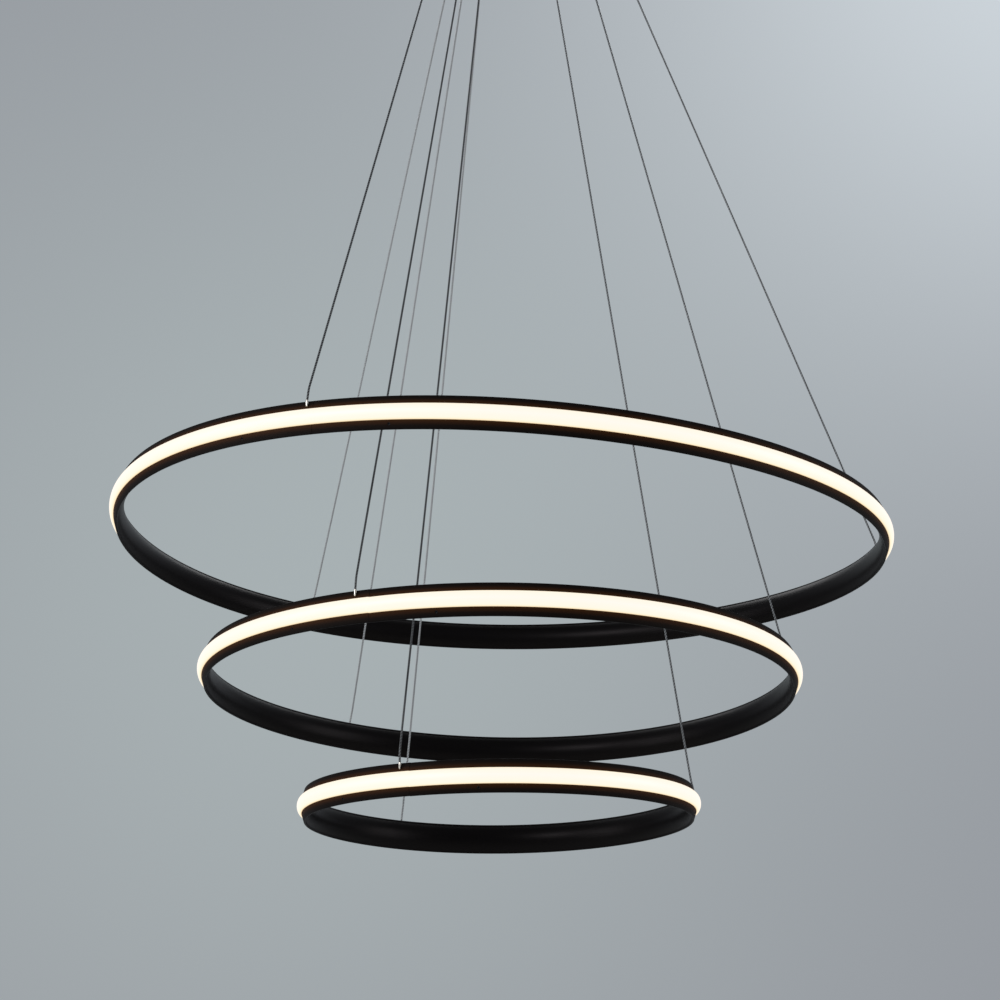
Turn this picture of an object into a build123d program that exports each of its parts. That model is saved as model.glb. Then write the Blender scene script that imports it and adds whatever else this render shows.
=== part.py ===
from build123d import *
import math
import os

# Ring chandelier: three LED rings of falling size hang nearly level below one ceiling
# canopy, each on three thin jacketed wires. Millimetres, +Z up, origin on the ceiling
# plane at the middle of the mounting bracket, so that the whole object hangs into -Z.
# +X points at the first wire of every ring.

# ---------------------------------------------------------------- rings, as hung
large_diameter = 800.0
medium_diameter = 608.0
small_diameter = 400.0
large_drop = 820.0  # ceiling to the ring's middle plane
medium_drop = 968.0
small_drop = 1095.5
large_tilt_x = 0.1  # degrees: the rings are levelled by hand on their wires
large_tilt_y = 1.7
large_turn = 2.1  # degrees about the ring's own axis
medium_tilt_x = -2.0
medium_tilt_y = 0.4
medium_turn = 2.0
small_tilt_x = -0.2
small_tilt_y = -0.7
small_turn = -0.1

# ---------------------------------------------------------------- ring extrusion
profile_height = 30.8
profile_depth = 9.4  # lip edges to the flat back
back_height = 13.0  # height of the flat back
mouth_height = 15.4  # clear height between the lips
lip_depth = 1.8
crown_setback = 2.6  # the crown edge stands this far behind the lip edge
rear_wall = 1.6  # behind the light strip
crown_wall = 2.5  # crown edge down to the pocket's peak
pocket_setback = 3.3  # lip edge back to the pocket's peak
strip_seat_height = 11.0  # flat land for the light strip
seam_gap = 0.2  # butt joint where the bent bar closes
seam_angle = 240.6  # degrees, beside the front left wire

# ---------------------------------------------------------------- opal diffuser
diffuser_stand = 4.6  # crown of the diffuser in front of the lip edges
diffuser_side = 2.3  # straight part of that
crown_flat_height = 6.4  # flat in the middle of its crown
diffuser_clearance = 0.1
diffuser_tail = 0.5  # how far it reaches behind the lips

# ---------------------------------------------------------------- light strip
strip_width = 10.0
strip_thickness = 0.8
strip_cut_length = 50.0
seat_gap = 0.02  # between faces that bear on each other

# ---------------------------------------------------------------- butt joint
joiner_length = 172.0
joiner_clearance = 0.2
joiner_top = 11.9  # from the ring's middle plane
joiner_foot = 8.6
joint_screw_spread = 150.0  # screw to screw, across the seam
joint_screw_height = 10.9  # below the middle plane, on the lower lip
joint_screw_radius = 1.25
joint_screw_clearance = 0.05
joint_screw_recess = 0.2
joint_screw_gap = 0.08  # tip to the joiner's slope

# ---------------------------------------------------------------- wires and their hooks on the lips
wire_diameter = 2.0
hook_stand = 0.3  # hook's axis in front of the lip edge
hook_hole_height = 9.9  # where the shank meets the lip's slope
hook_top_height = 18.6  # above the ring's middle plane
hook_top_radius = 1.2
hook_foot_radius = 0.8
hook_shank_radius = 0.75
hook_hole_clearance = 0.1
hook_stop_radius = 1.3
hook_stop_length = 1.3
hook_stop_clearance = 0.1

# ---------------------------------------------------------------- canopy
canopy_radius = 140.0
canopy_height = 42.0
canopy_wall = 1.2
canopy_edge = 2.0
canopy_ceiling_gap = 1.0
side_screw_drop = 14.0  # below the ceiling
side_screw_radius = 2.0
side_screw_length = 9.0
side_screw_head_radius = 5.0
side_screw_head_length = 4.0
screw_clearance = 0.1

# ---------------------------------------------------------------- mounting bracket
bracket_width = 32.0
bracket_thickness = 2.0
bracket_gap = 0.3  # tab corners to the canopy's wall
tab_length = 24.0
slot_pitch = 150.0
slot_length = 25.0
slot_radius = 2.75
wing_margin = 1.0  # plate beyond the drivers
bush_place = 34.0
bush_radius = 6.0
bush_bore_radius = 4.0
bush_lip = 1.6
bush_lip_radius = 8.0
bush_clearance = 0.05

# ---------------------------------------------------------------- LED drivers and terminals
driver_length = 138.0
driver_width = 44.0
driver_height = 22.0
driver_edge = 3.0
driver_middle = 42.0  # middle line, from the bar's
driver_foot_length = 9.0
driver_foot_height = 3.0
driver_screw_radius = 1.75
driver_screw_head_radius = 3.4
driver_screw_head_length = 2.2
screw_tail = 1.0  # screw ends above the bracket's underside
terminal_place = 111.0
terminal_length = 17.0
terminal_width = 28.0
terminal_height = 14.0
terminal_pole_count = 3
terminal_pole_pitch = 8.0
terminal_pole_radius = 1.9
terminal_pole_drop = 8.0
terminal_screw_radius = 1.25
terminal_screw_head_radius = 1.9
terminal_screw_head_length = 1.2
earth_place = 106.0
earth_screw_radius = 2.0
earth_screw_head_radius = 4.0
earth_screw_head_length = 3.0

# ---------------------------------------------------------------- wire grippers
large_grip_radius = 113.0
medium_grip_radius = 78.0
small_grip_radius = 42.0
grip_flange_radius = 6.5
grip_flange_length = 2.0
grip_barrel_radius = 5.0
grip_barrel_length = 12.0
grip_stem_radius = 4.0
grip_stem_length = 11.0
nut_radius = 7.5
nut_height = 3.0
nut_clearance = 0.05
plunger_radius = 3.0
plunger_fit = 0.05
plunger_stand = 7.0  # below the barrel, with its tip
plunger_seat = 8.0  # inside the barrel
plunger_tip_radius = 1.7
plunger_tip_length = 3.0
plunger_travel = 2.5
plunger_end_gap = 0.3

# Sides of the smallest turned parts.
turned_sides = 10
rod_sides = 6

# Each wire leaves its gripper straight down, runs taut to its ring and stands upright in
# the hook there: gripper tip, bend below it, bend above the hook, top of the hook.
large_wire_points = [
    [
        (113.00, 0.00, -63.05), (113.00, 0.00, -75.00),
        (396.17, 14.47, -801.12), (395.81, 14.49, -813.06),
    ],
    [
        (-56.50, 97.86, -63.05), (-56.50, 97.86, -75.00),
        (-209.27, 335.14, -782.59), (-209.63, 335.16, -794.54),
    ],
    [
        (-56.50, -97.86, -63.05), (-56.50, -97.86, -75.00),
        (-184.17, -349.77, -784.53), (-184.53, -349.75, -796.48),
    ],
]
medium_wire_points = [
    [
        (78.00, 0.00, -63.05), (78.00, 0.00, -75.00),
        (299.72, 11.45, -939.87), (299.64, 11.03, -951.82),
    ],
    [
        (-39.00, 67.55, -63.05), (-39.00, 67.55, -75.00),
        (-158.60, 255.11, -945.18), (-158.68, 254.69, -957.12),
    ],
    [
        (-39.00, -67.55, -63.05), (-39.00, -67.55, -75.00),
        (-140.48, -263.36, -927.20), (-140.57, -263.77, -939.15),
    ],
]
small_wire_points = [
    [
        (42.00, 0.00, -63.05), (42.00, 0.00, -75.00),
        (195.31, -0.23, -1062.51), (195.46, -0.27, -1074.46),
    ],
    [
        (-21.00, 36.37, -63.05), (-21.00, 36.37, -75.00),
        (-97.92, 169.75, -1066.69), (-97.77, 169.71, -1078.64),
    ],
    [
        (-21.00, -36.37, -63.05), (-21.00, -36.37, -75.00),
        (-98.51, -169.21, -1065.51), (-98.37, -169.25, -1077.46),
    ],
]

# ---------------------------------------------------------------- worked out from the above
half_height = profile_height / 2
half_mouth = mouth_height / 2
half_seat = strip_seat_height / 2
half_back = back_height / 2
peak_height = half_height - crown_wall
seat_setback = profile_depth - rear_wall
lip_slope = crown_setback / (half_height - half_mouth)  # setback for each millimetre of height
lip_tilt = math.atan(lip_slope)
pocket_slope = (pocket_setback - lip_depth) / (peak_height - half_mouth)
canopy_inner_radius = canopy_radius - canopy_wall
tab_place = math.sqrt((canopy_inner_radius - bracket_gap) ** 2 - (bracket_width / 2) ** 2)
driver_foot_place = driver_length / 2 + driver_foot_length / 2
wing_length = driver_length + 2 * driver_foot_length + 2 * wing_margin
wing_width = 2 * driver_middle + driver_width + 2 * wing_margin
barrel_foot = -canopy_height - seat_gap - grip_flange_length - grip_barrel_length

rings = {
    "large": {
        "radius": large_diameter / 2,
        "place": Pos(0, 0, -large_drop) * Rot(X=large_tilt_x) * Rot(Y=large_tilt_y) * Rot(Z=large_turn),
        "grip_radius": large_grip_radius,
        "wires": large_wire_points,
    },
    "medium": {
        "radius": medium_diameter / 2,
        "place": Pos(0, 0, -medium_drop) * Rot(X=medium_tilt_x) * Rot(Y=medium_tilt_y) * Rot(Z=medium_turn),
        "grip_radius": medium_grip_radius,
        "wires": medium_wire_points,
    },
    "small": {
        "radius": small_diameter / 2,
        "place": Pos(0, 0, -small_drop) * Rot(X=small_tilt_x) * Rot(Y=small_tilt_y) * Rot(Z=small_turn),
        "grip_radius": small_grip_radius,
        "wires": small_wire_points,
    },
}


# ---------------------------------------------------------------- helpers
def save(name, *solids):
    """One file for one sub-part, which may be a group of separate solids."""
    shape = solids[0] if len(solids) == 1 else Compound(list(solids))
    export_step(shape, f"parts/{name}.step")


def wire_angles(ring):
    count = len(ring["wires"])
    return [360 / count * number for number in range(count)]


def turned(radius, length, sides=turned_sides):
    """A short turned bar that stands on the XY plane."""
    return extrude(RegularPolygon(radius, sides), length)


def hole(radius, reach, sides=turned_sides):
    """What a drill takes away to both sides of the XY plane."""
    return extrude(RegularPolygon(radius, sides), reach, both=True)


def bent(section, radius):
    """The extrusion bent round the ring's axis, open by the seam."""
    gap = math.degrees(seam_gap / radius)
    return Rot(Z=seam_angle + gap / 2) * revolve(section, Axis.Z, 360 - gap)


def lip_radius(ring):
    return ring["radius"] - diffuser_stand


def slope_point(ring, height):
    """Distance from the ring's axis to a lip's slope, at a height from the middle plane."""
    return lip_radius(ring) - lip_slope * (height - half_mouth)


def lip_wall(height, clearance=0.0):
    """Thickness of a lip square to its slope, at a height, with a clearance behind it."""
    rise = height - half_mouth
    depth = lip_depth + clearance + (pocket_slope - lip_slope) * rise
    return depth / (math.cos(lip_tilt) + pocket_slope * math.sin(lip_tilt))


def upper_slope(ring, height):
    """Place on the upper lip's slope whose Z axis points out of the lip."""
    normal = (math.cos(lip_tilt), 0, math.sin(lip_tilt))
    return Plane((slope_point(ring, height), 0, height), x_dir=(0, 1, 0), z_dir=normal).location


def lower_slope(ring, height):
    """The same on the lower lip, with its height counted downwards."""
    normal = (math.cos(lip_tilt), 0, -math.sin(lip_tilt))
    return Plane((slope_point(ring, height), 0, -height), x_dir=(0, 1, 0), z_dir=normal).location


def joint_screw_angles(ring):
    half = math.degrees(joint_screw_spread / 2 / ring["radius"])
    return [seam_angle - half, seam_angle + half]


def section_face(corners):
    """Closed section in the XZ plane, as distance from the ring's axis and height."""
    with BuildSketch(Plane.XZ) as section:
        with BuildLine():
            Polyline(*corners, close=True)
        make_face()
    return section.sketch


# ---------------------------------------------------------------- rings
def profile_section(lip):
    """Channel with sloping lips and back, and a pocket behind each lip."""
    upper = [
        (lip - profile_depth, half_back),
        (lip - crown_setback, half_height),
        (lip, half_mouth),
        (lip - lip_depth, half_mouth),
        (lip - pocket_setback, peak_height),
        (lip - seat_setback, half_seat),
    ]
    lower = [(x, -z) for x, z in reversed(upper)]
    return section_face(upper + lower)


def ring_profile(ring):
    lip = lip_radius(ring)
    profile = bent(profile_section(lip), ring["radius"])
    wire_hole = hole(hook_shank_radius + hook_hole_clearance, 2 * lip_depth)
    for angle in wire_angles(ring):
        profile -= Rot(Z=angle) * upper_slope(ring, hook_hole_height) * wire_hole
    screw_hole = hole(joint_screw_radius + joint_screw_clearance, 2 * lip_depth)
    for angle in joint_screw_angles(ring):
        profile -= Rot(Z=angle) * lower_slope(ring, joint_screw_height) * screw_hole
    return ring["place"] * profile


def ring_diffuser(ring):
    """Opal bar with a crowned face, held between the lips."""
    lip = lip_radius(ring)
    half = half_mouth - diffuser_clearance
    tail = lip - lip_depth - diffuser_tail
    upper = [(tail, half), (lip + diffuser_side, half), (lip + diffuser_stand, crown_flat_height / 2)]
    lower = [(x, -z) for x, z in reversed(upper)]
    return ring["place"] * bent(section_face(upper + lower), ring["radius"])


def light_strip(ring):
    """Strip of straight cut sections that lies on the channel's seat, edge to edge."""
    seat = lip_radius(ring) - seat_setback + seat_gap
    sections = round(2 * math.pi * seat / strip_cut_length)
    band = RegularPolygon(seat + strip_thickness, sections, major_radius=False)
    band -= RegularPolygon(seat, sections, major_radius=False)
    return ring["place"] * extrude(band, strip_width / 2, both=True)


def ring_joiner(ring):
    """Wedge bar in the lower pocket that bridges the seam."""
    lip = lip_radius(ring)
    rear_slope = (seat_setback - pocket_setback) / (peak_height - half_seat)

    def front(height):
        return lip - lip_depth - pocket_slope * (height - half_mouth) - joiner_clearance

    def rear(height):
        return lip - seat_setback + rear_slope * (height - half_seat) + joiner_clearance

    corners = [
        (front(joiner_top), -joiner_top),
        (front(joiner_foot), -joiner_foot),
        (rear(joiner_foot), -joiner_foot),
        (rear(joiner_top), -joiner_top),
    ]
    reach = math.degrees(joiner_length / ring["radius"])
    return ring["place"] * Rot(Z=seam_angle - reach / 2) * revolve(section_face(corners), Axis.Z, reach)


def joint_screws(ring):
    """Grub screws through the lower lip that bear on the joiner."""
    length = lip_wall(joint_screw_height, joiner_clearance) - joint_screw_recess - joint_screw_gap
    screw = Pos(0, 0, -joint_screw_recess - length) * turned(joint_screw_radius, length)
    slope = lower_slope(ring, joint_screw_height)
    return [ring["place"] * Rot(Z=angle) * slope * screw for angle in joint_screw_angles(ring)]


def wire_hook(ring, angle):
    """Tapered sleeve on the wire's end, whose shank turns into the lip and is headed behind it."""
    reach = (lip_radius(ring) + hook_stand - slope_point(ring, hook_hole_height)) / math.cos(lip_tilt)
    knee_height = hook_hole_height + reach * math.sin(lip_tilt)
    foot_height = knee_height - hook_shank_radius
    foot = Pos(0, 0, foot_height) * RegularPolygon(hook_foot_radius, rod_sides + 2)
    top = Pos(0, 0, hook_top_height) * RegularPolygon(hook_top_radius, rod_sides + 2)
    sleeve = Pos(lip_radius(ring) + hook_stand, 0, 0) * loft([foot.face(), top.face()], ruled=True)
    stop_depth = lip_wall(hook_hole_height) + hook_stop_clearance
    inner = stop_depth + hook_stop_length
    slope = upper_slope(ring, hook_hole_height)
    shank = slope * Pos(0, 0, -inner) * turned(hook_shank_radius, inner + reach, rod_sides)
    stop = slope * Pos(0, 0, -inner) * turned(hook_stop_radius, hook_stop_length, rod_sides + 2)
    return ring["place"] * Rot(Z=angle) * (sleeve + shank + stop)


# ---------------------------------------------------------------- wires
def bend_radii(points):
    """Radius at each inner point: 0.45 of the shorter run, by the tangent of half the turn."""
    radii = []
    for before, corner, after in zip(points, points[1:], points[2:]):
        run_in = Vector(*corner) - Vector(*before)
        run_out = Vector(*after) - Vector(*corner)
        turn = math.radians(run_in.get_angle(run_out))
        radii.append(0.45 * min(run_in.length, run_out.length) / math.tan(turn / 2))
    return radii


def wire(points):
    radii = bend_radii(points)
    with BuildLine() as route:
        FilletPolyline(*points, radius=radii)
    path = route.wire()
    section = Plane(origin=path @ 0, z_dir=path % 0) * RegularPolygon(wire_diameter / 2, rod_sides)
    tube = sweep(section, path=path)
    share = tube.volume / (section.area * path.length)
    bends = ", ".join(f"{radius:.1f}" for radius in radii)
    print(f"wire: length {path.length:.1f}, bend radii {bends}, volume over section x length {share:.4f}")
    return tube


# ---------------------------------------------------------------- canopy and bracket
def grip_places():
    """Where each wire leaves the canopy."""
    places = {}
    for name, ring in rings.items():
        for number, angle in enumerate(wire_angles(ring), start=1):
            places[f"{name}_plunger_{number}"] = Rot(Z=angle) * Pos(ring["grip_radius"], 0, 0)
    return places


def side_screw_places():
    inwards = Pos(canopy_radius + seat_gap, 0, -side_screw_drop) * Rot(Y=-90)
    return [Rot(Z=angle) * inwards for angle in (0, 180)]


def canopy_cup():
    height = canopy_height - canopy_ceiling_gap
    standing = (Align.CENTER, Align.CENTER, Align.MIN)
    outside = Pos(0, 0, -canopy_height) * Cylinder(canopy_radius, height, align=standing)
    outside = chamfer(outside.edges().sort_by(Axis.Z)[0], canopy_edge)
    inside = Pos(0, 0, -canopy_height + canopy_wall) * Cylinder(canopy_inner_radius, height, align=standing)
    inside = chamfer(inside.edges().sort_by(Axis.Z)[0], canopy_edge)
    cup = outside - inside
    stem_hole = Pos(0, 0, -canopy_height) * hole(grip_stem_radius + screw_clearance, 2 * canopy_wall)
    for place in grip_places().values():
        cup -= place * stem_hole
    for place in side_screw_places():
        cup -= place * hole(side_screw_radius + screw_clearance, 3 * canopy_wall)
    return cup


def side_screw():
    """Thumb screw whose head bears on the canopy's wall."""
    shank = turned(side_screw_radius, side_screw_length)
    head = Pos(0, 0, -side_screw_head_length) * turned(side_screw_head_radius, side_screw_head_length)
    return head + shank


def driver_screw_places():
    return [
        Pos(end * driver_foot_place, side * driver_middle, -bracket_thickness)
        for side in (-1, 1)
        for end in (-1, 1)
    ]


def terminal_screw_places():
    lines = terminal_pole_count - 1
    return [
        Pos(terminal_place, (line - (lines - 1) / 2) * terminal_pole_pitch, -bracket_thickness)
        for line in range(lines)
    ]


def mounting_bracket():
    top = (Align.CENTER, Align.CENTER, Align.MAX)
    bar = Box(2 * tab_place, bracket_width, bracket_thickness, align=top)
    wings = Box(wing_length, wing_width, bracket_thickness, align=top)
    bracket = bar + wings
    outer_top = (Align.MAX, Align.CENTER, Align.MAX)
    tab = Pos(tab_place, 0, 0) * Box(bracket_thickness, bracket_width, tab_length, align=outer_top)
    tab -= Pos(tab_place, 0, -side_screw_drop) * Rot(Y=90) * hole(
        side_screw_radius + screw_clearance, 2 * bracket_thickness
    )
    bracket += [tab, Rot(Z=180) * tab]
    slot = extrude(SlotOverall(slot_length, 2 * slot_radius), 2 * bracket_thickness, both=True)
    for end in (-1, 1):
        bracket -= Pos(end * slot_pitch / 2, 0, 0) * slot
    bracket -= Pos(bush_place, 0, 0) * hole(bush_radius, 2 * bracket_thickness)
    for place in driver_screw_places():
        bracket -= place * hole(driver_screw_radius + screw_clearance, 2 * bracket_thickness)
    for place in terminal_screw_places():
        bracket -= place * hole(terminal_screw_radius + screw_clearance, 2 * bracket_thickness)
    bracket -= Pos(-earth_place, 0, 0) * hole(earth_screw_radius + screw_clearance, 2 * bracket_thickness)
    return bracket


def cable_bush():
    """Rubber bush pressed up into the bracket, round the supply cable's hole."""
    length = bracket_thickness + bush_lip
    sleeve = Pos(0, 0, -length) * turned(bush_radius - bush_clearance, length)
    lip = Pos(0, 0, -length) * turned(bush_lip_radius, bush_lip - seat_gap)
    return Pos(bush_place, 0, 0) * (sleeve + lip - Cylinder(bush_bore_radius, 4 * length))


def led_driver(side):
    """Potted driver with a screwed foot at each end."""
    low = (Align.CENTER, Align.CENTER, Align.MAX)
    case = Box(driver_length, driver_width, driver_height, align=low)
    case = chamfer(case.faces().sort_by(Axis.Z)[0].edges(), driver_edge)
    foot = Box(driver_foot_length, driver_width - 2 * driver_edge, driver_foot_height, align=low)
    foot -= hole(driver_screw_radius + screw_clearance, 2 * driver_foot_height)
    driver = case
    for end in (-1, 1):
        driver += Pos(end * driver_foot_place, 0, 0) * foot
    return Pos(0, side * driver_middle, -bracket_thickness - seat_gap) * driver


def pan_screw(radius, head_radius, head_length, grip):
    """Screw driven upwards: its head bears below what it holds, its end stops short of the ceiling."""
    head = turned(head_radius, head_length)
    shank = turned(radius, head_length + grip + screw_tail)
    return Pos(0, 0, -seat_gap - grip - head_length) * (head + shank)


def terminal_block():
    hanging = (Align.CENTER, Align.CENTER, Align.MAX)
    block = Box(terminal_length, terminal_width, terminal_height, align=hanging)
    for pole in range(terminal_pole_count):
        across = (pole - (terminal_pole_count - 1) / 2) * terminal_pole_pitch
        block -= Pos(0, across, -terminal_pole_drop) * Rot(Y=90) * hole(terminal_pole_radius, terminal_length)
    placed = Pos(terminal_place, 0, -bracket_thickness - seat_gap) * block
    for place in terminal_screw_places():
        placed -= place * hole(terminal_screw_radius + screw_clearance, 2 * terminal_height)
    return placed


# ---------------------------------------------------------------- grippers
def gripper_body():
    """Barrel below the canopy, threaded stem through it, and a blind bore for the plunger."""
    flange_foot = -canopy_height - seat_gap - grip_flange_length
    barrel = Pos(0, 0, barrel_foot) * turned(grip_barrel_radius, grip_barrel_length)
    flange = Pos(0, 0, flange_foot) * turned(grip_flange_radius, grip_flange_length)
    stem = Pos(0, 0, flange_foot) * turned(grip_stem_radius, grip_flange_length + grip_stem_length)
    bore_depth = plunger_seat + plunger_travel + plunger_end_gap
    bore = Pos(0, 0, barrel_foot) * turned(plunger_radius + plunger_fit, bore_depth)
    return barrel + flange + stem - bore


def gripper_nut():
    foot = -canopy_height + canopy_wall + seat_gap
    nut = RegularPolygon(nut_radius, 6) - RegularPolygon(grip_stem_radius + nut_clearance, turned_sides)
    return Pos(0, 0, foot) * extrude(nut, nut_height)


def gripper_plunger():
    """Release plunger: pushed up, it lets go of the wire."""
    tip_foot = barrel_foot - plunger_stand
    tip = Pos(0, 0, tip_foot) * turned(plunger_tip_radius, plunger_tip_length)
    body_length = plunger_stand - plunger_tip_length + plunger_seat
    body = Pos(0, 0, tip_foot + plunger_tip_length) * turned(plunger_radius, body_length)
    return tip + body


# ---------------------------------------------------------------- build
os.makedirs("parts", exist_ok=True)

for name, ring in rings.items():
    save(f"{name}_ring_profile", ring_profile(ring))
    save(f"{name}_ring_diffuser", ring_diffuser(ring))
    save(f"{name}_light_strip", light_strip(ring))
    save(f"{name}_ring_joiner", ring_joiner(ring))
    save(f"{name}_joint_screws", *joint_screws(ring))
    save(f"{name}_wire_hooks", *[wire_hook(ring, angle) for angle in wire_angles(ring)])
    for number, points in enumerate(ring["wires"], start=1):
        save(f"{name}_wire_{number}", wire(points))

grips = grip_places()
for name, place in grips.items():
    save(name, place * gripper_plunger())
save("gripper_bodies", *[place * gripper_body() for place in grips.values()])
save("gripper_nuts", *[place * gripper_nut() for place in grips.values()])

save("canopy_cup", canopy_cup())
save("canopy_side_screws", *[place * side_screw() for place in side_screw_places()])
save("mounting_bracket", mounting_bracket())
save("cable_bush", cable_bush())
save("led_driver_front", led_driver(-1))
save("led_driver_back", led_driver(1))
driver_screw = pan_screw(
    driver_screw_radius, driver_screw_head_radius, driver_screw_head_length, driver_foot_height
)
save("driver_screws", *[place * driver_screw for place in driver_screw_places()])
save("terminal_block", terminal_block())
terminal_screw = pan_screw(
    terminal_screw_radius, terminal_screw_head_radius, terminal_screw_head_length, terminal_height
)
save("terminal_screws", *[place * terminal_screw for place in terminal_screw_places()])
earth_screw = pan_screw(earth_screw_radius, earth_screw_head_radius, earth_screw_head_length, 0)
save("earth_screw", Pos(-earth_place, 0, -bracket_thickness) * earth_screw)
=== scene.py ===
"""Ring chandelier: three lit rings on thin wires below one canopy, dressed for its picture."""
import logging
import math
from collections.abc import Iterable, Sequence
from dataclasses import dataclass, field
from enum import Enum

import bmesh
import bpy
from mathutils import Matrix, Vector


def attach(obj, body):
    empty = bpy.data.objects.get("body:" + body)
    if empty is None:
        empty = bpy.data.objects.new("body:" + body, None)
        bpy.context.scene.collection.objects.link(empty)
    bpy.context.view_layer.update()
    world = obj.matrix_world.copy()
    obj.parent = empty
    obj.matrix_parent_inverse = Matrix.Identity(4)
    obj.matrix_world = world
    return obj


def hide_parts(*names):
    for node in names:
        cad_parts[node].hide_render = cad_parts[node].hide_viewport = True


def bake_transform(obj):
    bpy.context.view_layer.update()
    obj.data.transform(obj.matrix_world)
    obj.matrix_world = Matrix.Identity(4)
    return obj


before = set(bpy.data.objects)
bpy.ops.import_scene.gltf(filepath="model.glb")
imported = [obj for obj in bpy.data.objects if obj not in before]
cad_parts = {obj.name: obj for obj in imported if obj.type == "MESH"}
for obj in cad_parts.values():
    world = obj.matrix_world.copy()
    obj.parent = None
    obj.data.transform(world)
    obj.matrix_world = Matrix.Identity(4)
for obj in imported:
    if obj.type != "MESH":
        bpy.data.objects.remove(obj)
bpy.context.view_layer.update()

log = logging.getLogger("ring_chandelier")
MM = 0.001
SHARP = 40.0  # degrees above which an edge is eased
BAR_MAP = "bar"  # the map of every bent or drawn piece: along it, and round its section
Point = tuple[float, float, float]
Flat = tuple[float, float]
Piece = bpy.types.Object
Socket = bpy.types.NodeSocket
Tree = bpy.types.NodeTree
Inputs = dict[str | int, object]
Stops = Sequence[tuple[float, str]]


# ------------------------------------------------------------------ colour and nodes
def linear(code: str) -> tuple[float, float, float, float]:
    """Turns six sRGB hex digits to the linear red, green, blue and alpha of a socket."""
    parts = [int(code[i : i + 2], 16) / 255 for i in (0, 2, 4)]
    red, green, blue = [
        c / 12.92 if c <= 0.04045 else ((c + 0.055) / 1.055) ** 2.4 for c in parts
    ]
    return red, green, blue, 1.0


def empty_tree(owner: bpy.types.Material | bpy.types.World) -> Tree:
    """Turns nodes on for a material or world, and returns its tree without any."""
    owner.use_nodes = True
    owner.node_tree.nodes.clear()
    return owner.node_tree


def feed(node: bpy.types.Node, inputs: Inputs) -> None:
    """Sets or links a node's inputs.

    Args:
        node: the node that gets them.
        inputs: by input name or number, a value or the socket that feeds it.
    """
    for key, value in inputs.items():
        if isinstance(value, Socket):
            node.id_data.links.new(value, node.inputs[key])
        else:
            node.inputs[key].default_value = value


def add_node(
    tree: Tree,
    kind: str,
    inputs: Inputs | None = None,
    output: str | int = 0,
    stops: Stops = (),
    **settings: object,
) -> Socket | None:
    """Adds a node with its settings and links.

    Args:
        tree: the node tree that gets it.
        kind: Blender's name for the node type, after the word ShaderNode.
        inputs: as for feed.
        output: name or number of the output that is wanted.
        stops: a colour ramp's (place, hex) pairs.
        settings: the node's other properties.

    Returns:
        The wanted output, or None from a node that has none.
    """
    node = tree.nodes.new(f"ShaderNode{kind}")
    if stops:
        ramp = node.color_ramp
        while len(ramp.elements) < len(stops):
            ramp.elements.new(0.5)
        for element, (place, code) in zip(ramp.elements, stops):
            element.position, element.color = place, linear(code)
    for key, value in settings.items():
        setattr(node, key, value)
    feed(node, inputs or {})
    return node.outputs[output] if node.outputs else None


def bar_part(tree: Tree, number: int) -> Socket:
    """One part of the bar map: 0 is along the piece, 1 is round its section."""
    return add_node(tree, "SeparateXYZ", {0: add_node(tree, "UVMap", uv_map=BAR_MAP)}, number)


def off_middle(tree: Tree) -> Socket:
    """How far round the section a spot is from the map's middle, from 0 to 0.5."""
    place = add_node(tree, "Math", {0: bar_part(tree, 1), 1: 0.5}, operation="SUBTRACT")
    return add_node(tree, "Math", {0: place}, operation="ABSOLUTE")


# ------------------------------------------------------------------ finishes
@dataclass(frozen=True)
class Finish:
    """What a surface is made of: base of every finish here. Lengths are in metres."""

    title: str
    slot: str
    colour: str
    roughness: float
    metallic: float = 0.0
    ior: float = 1.5
    grit: float = 0.0004  # size of a grain
    relief: float = 0.00002  # height of the grains
    stray: float = 0.05  # how far the roughness strays to each side

    def material(self) -> bpy.types.Material:
        """The finish's one material, made when it is first asked for."""
        made = bpy.data.materials.get(self.title)
        if made is None:
            made = bpy.data.materials.new(self.title)
            tree = empty_tree(made)
            plain = {
                "Base Color": linear(self.colour),
                "Roughness": self.roughness,
                "Metallic": self.metallic,
                "IOR": self.ior,
            }
            surface = add_node(tree, "BsdfPrincipled", plain)
            feed(surface.node, self.pattern(tree))
            add_node(tree, "OutputMaterial", {"Surface": surface})
        return made

    def pattern(self, tree: Tree) -> Inputs:
        """The shader's inputs that this finish draws; the plain base has none."""
        return {}

    def grain(self, tree: Tree, where: Socket | None = None) -> Inputs:
        """Fine relief and uneven gloss from one noise.

        Args:
            tree: the material's tree.
            where: coordinates, or else the object's own.

        Returns:
            The shader's inputs that it feeds.
        """
        if where is None:
            where = add_node(tree, "TexCoord", output="Object")
        size = {"Vector": where, "Scale": 1 / (2 * self.grit), "Detail": 3.0, "Roughness": 0.6}
        noise = add_node(tree, "TexNoise", size, "Fac")
        low, high = self.roughness - self.stray, self.roughness + self.stray
        rough = add_node(tree, "MapRange", {"Value": noise, "To Min": low, "To Max": high})
        bump = add_node(
            tree, "Bump", {"Height": noise, "Distance": self.relief, "Strength": 0.6}
        )
        return {"Roughness": rough, "Normal": bump}

    def clouds(self, tree: Tree, scale: float, detail: float, stops: Stops) -> Inputs:
        """Colour that drifts with a soft noise.

        Args:
            tree: the material's tree.
            scale: clouds in a metre.
            detail: finer layers in them.
            stops: the colours, as for add_node.

        Returns:
            The shader's input that it feeds.
        """
        where = add_node(tree, "TexCoord", output="Object")
        size = {"Vector": where, "Scale": scale, "Detail": detail}
        noise = add_node(tree, "TexNoise", size, "Fac")
        return {"Base Color": add_node(tree, "ValToRGB", {"Fac": noise}, stops=stops)}


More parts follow.
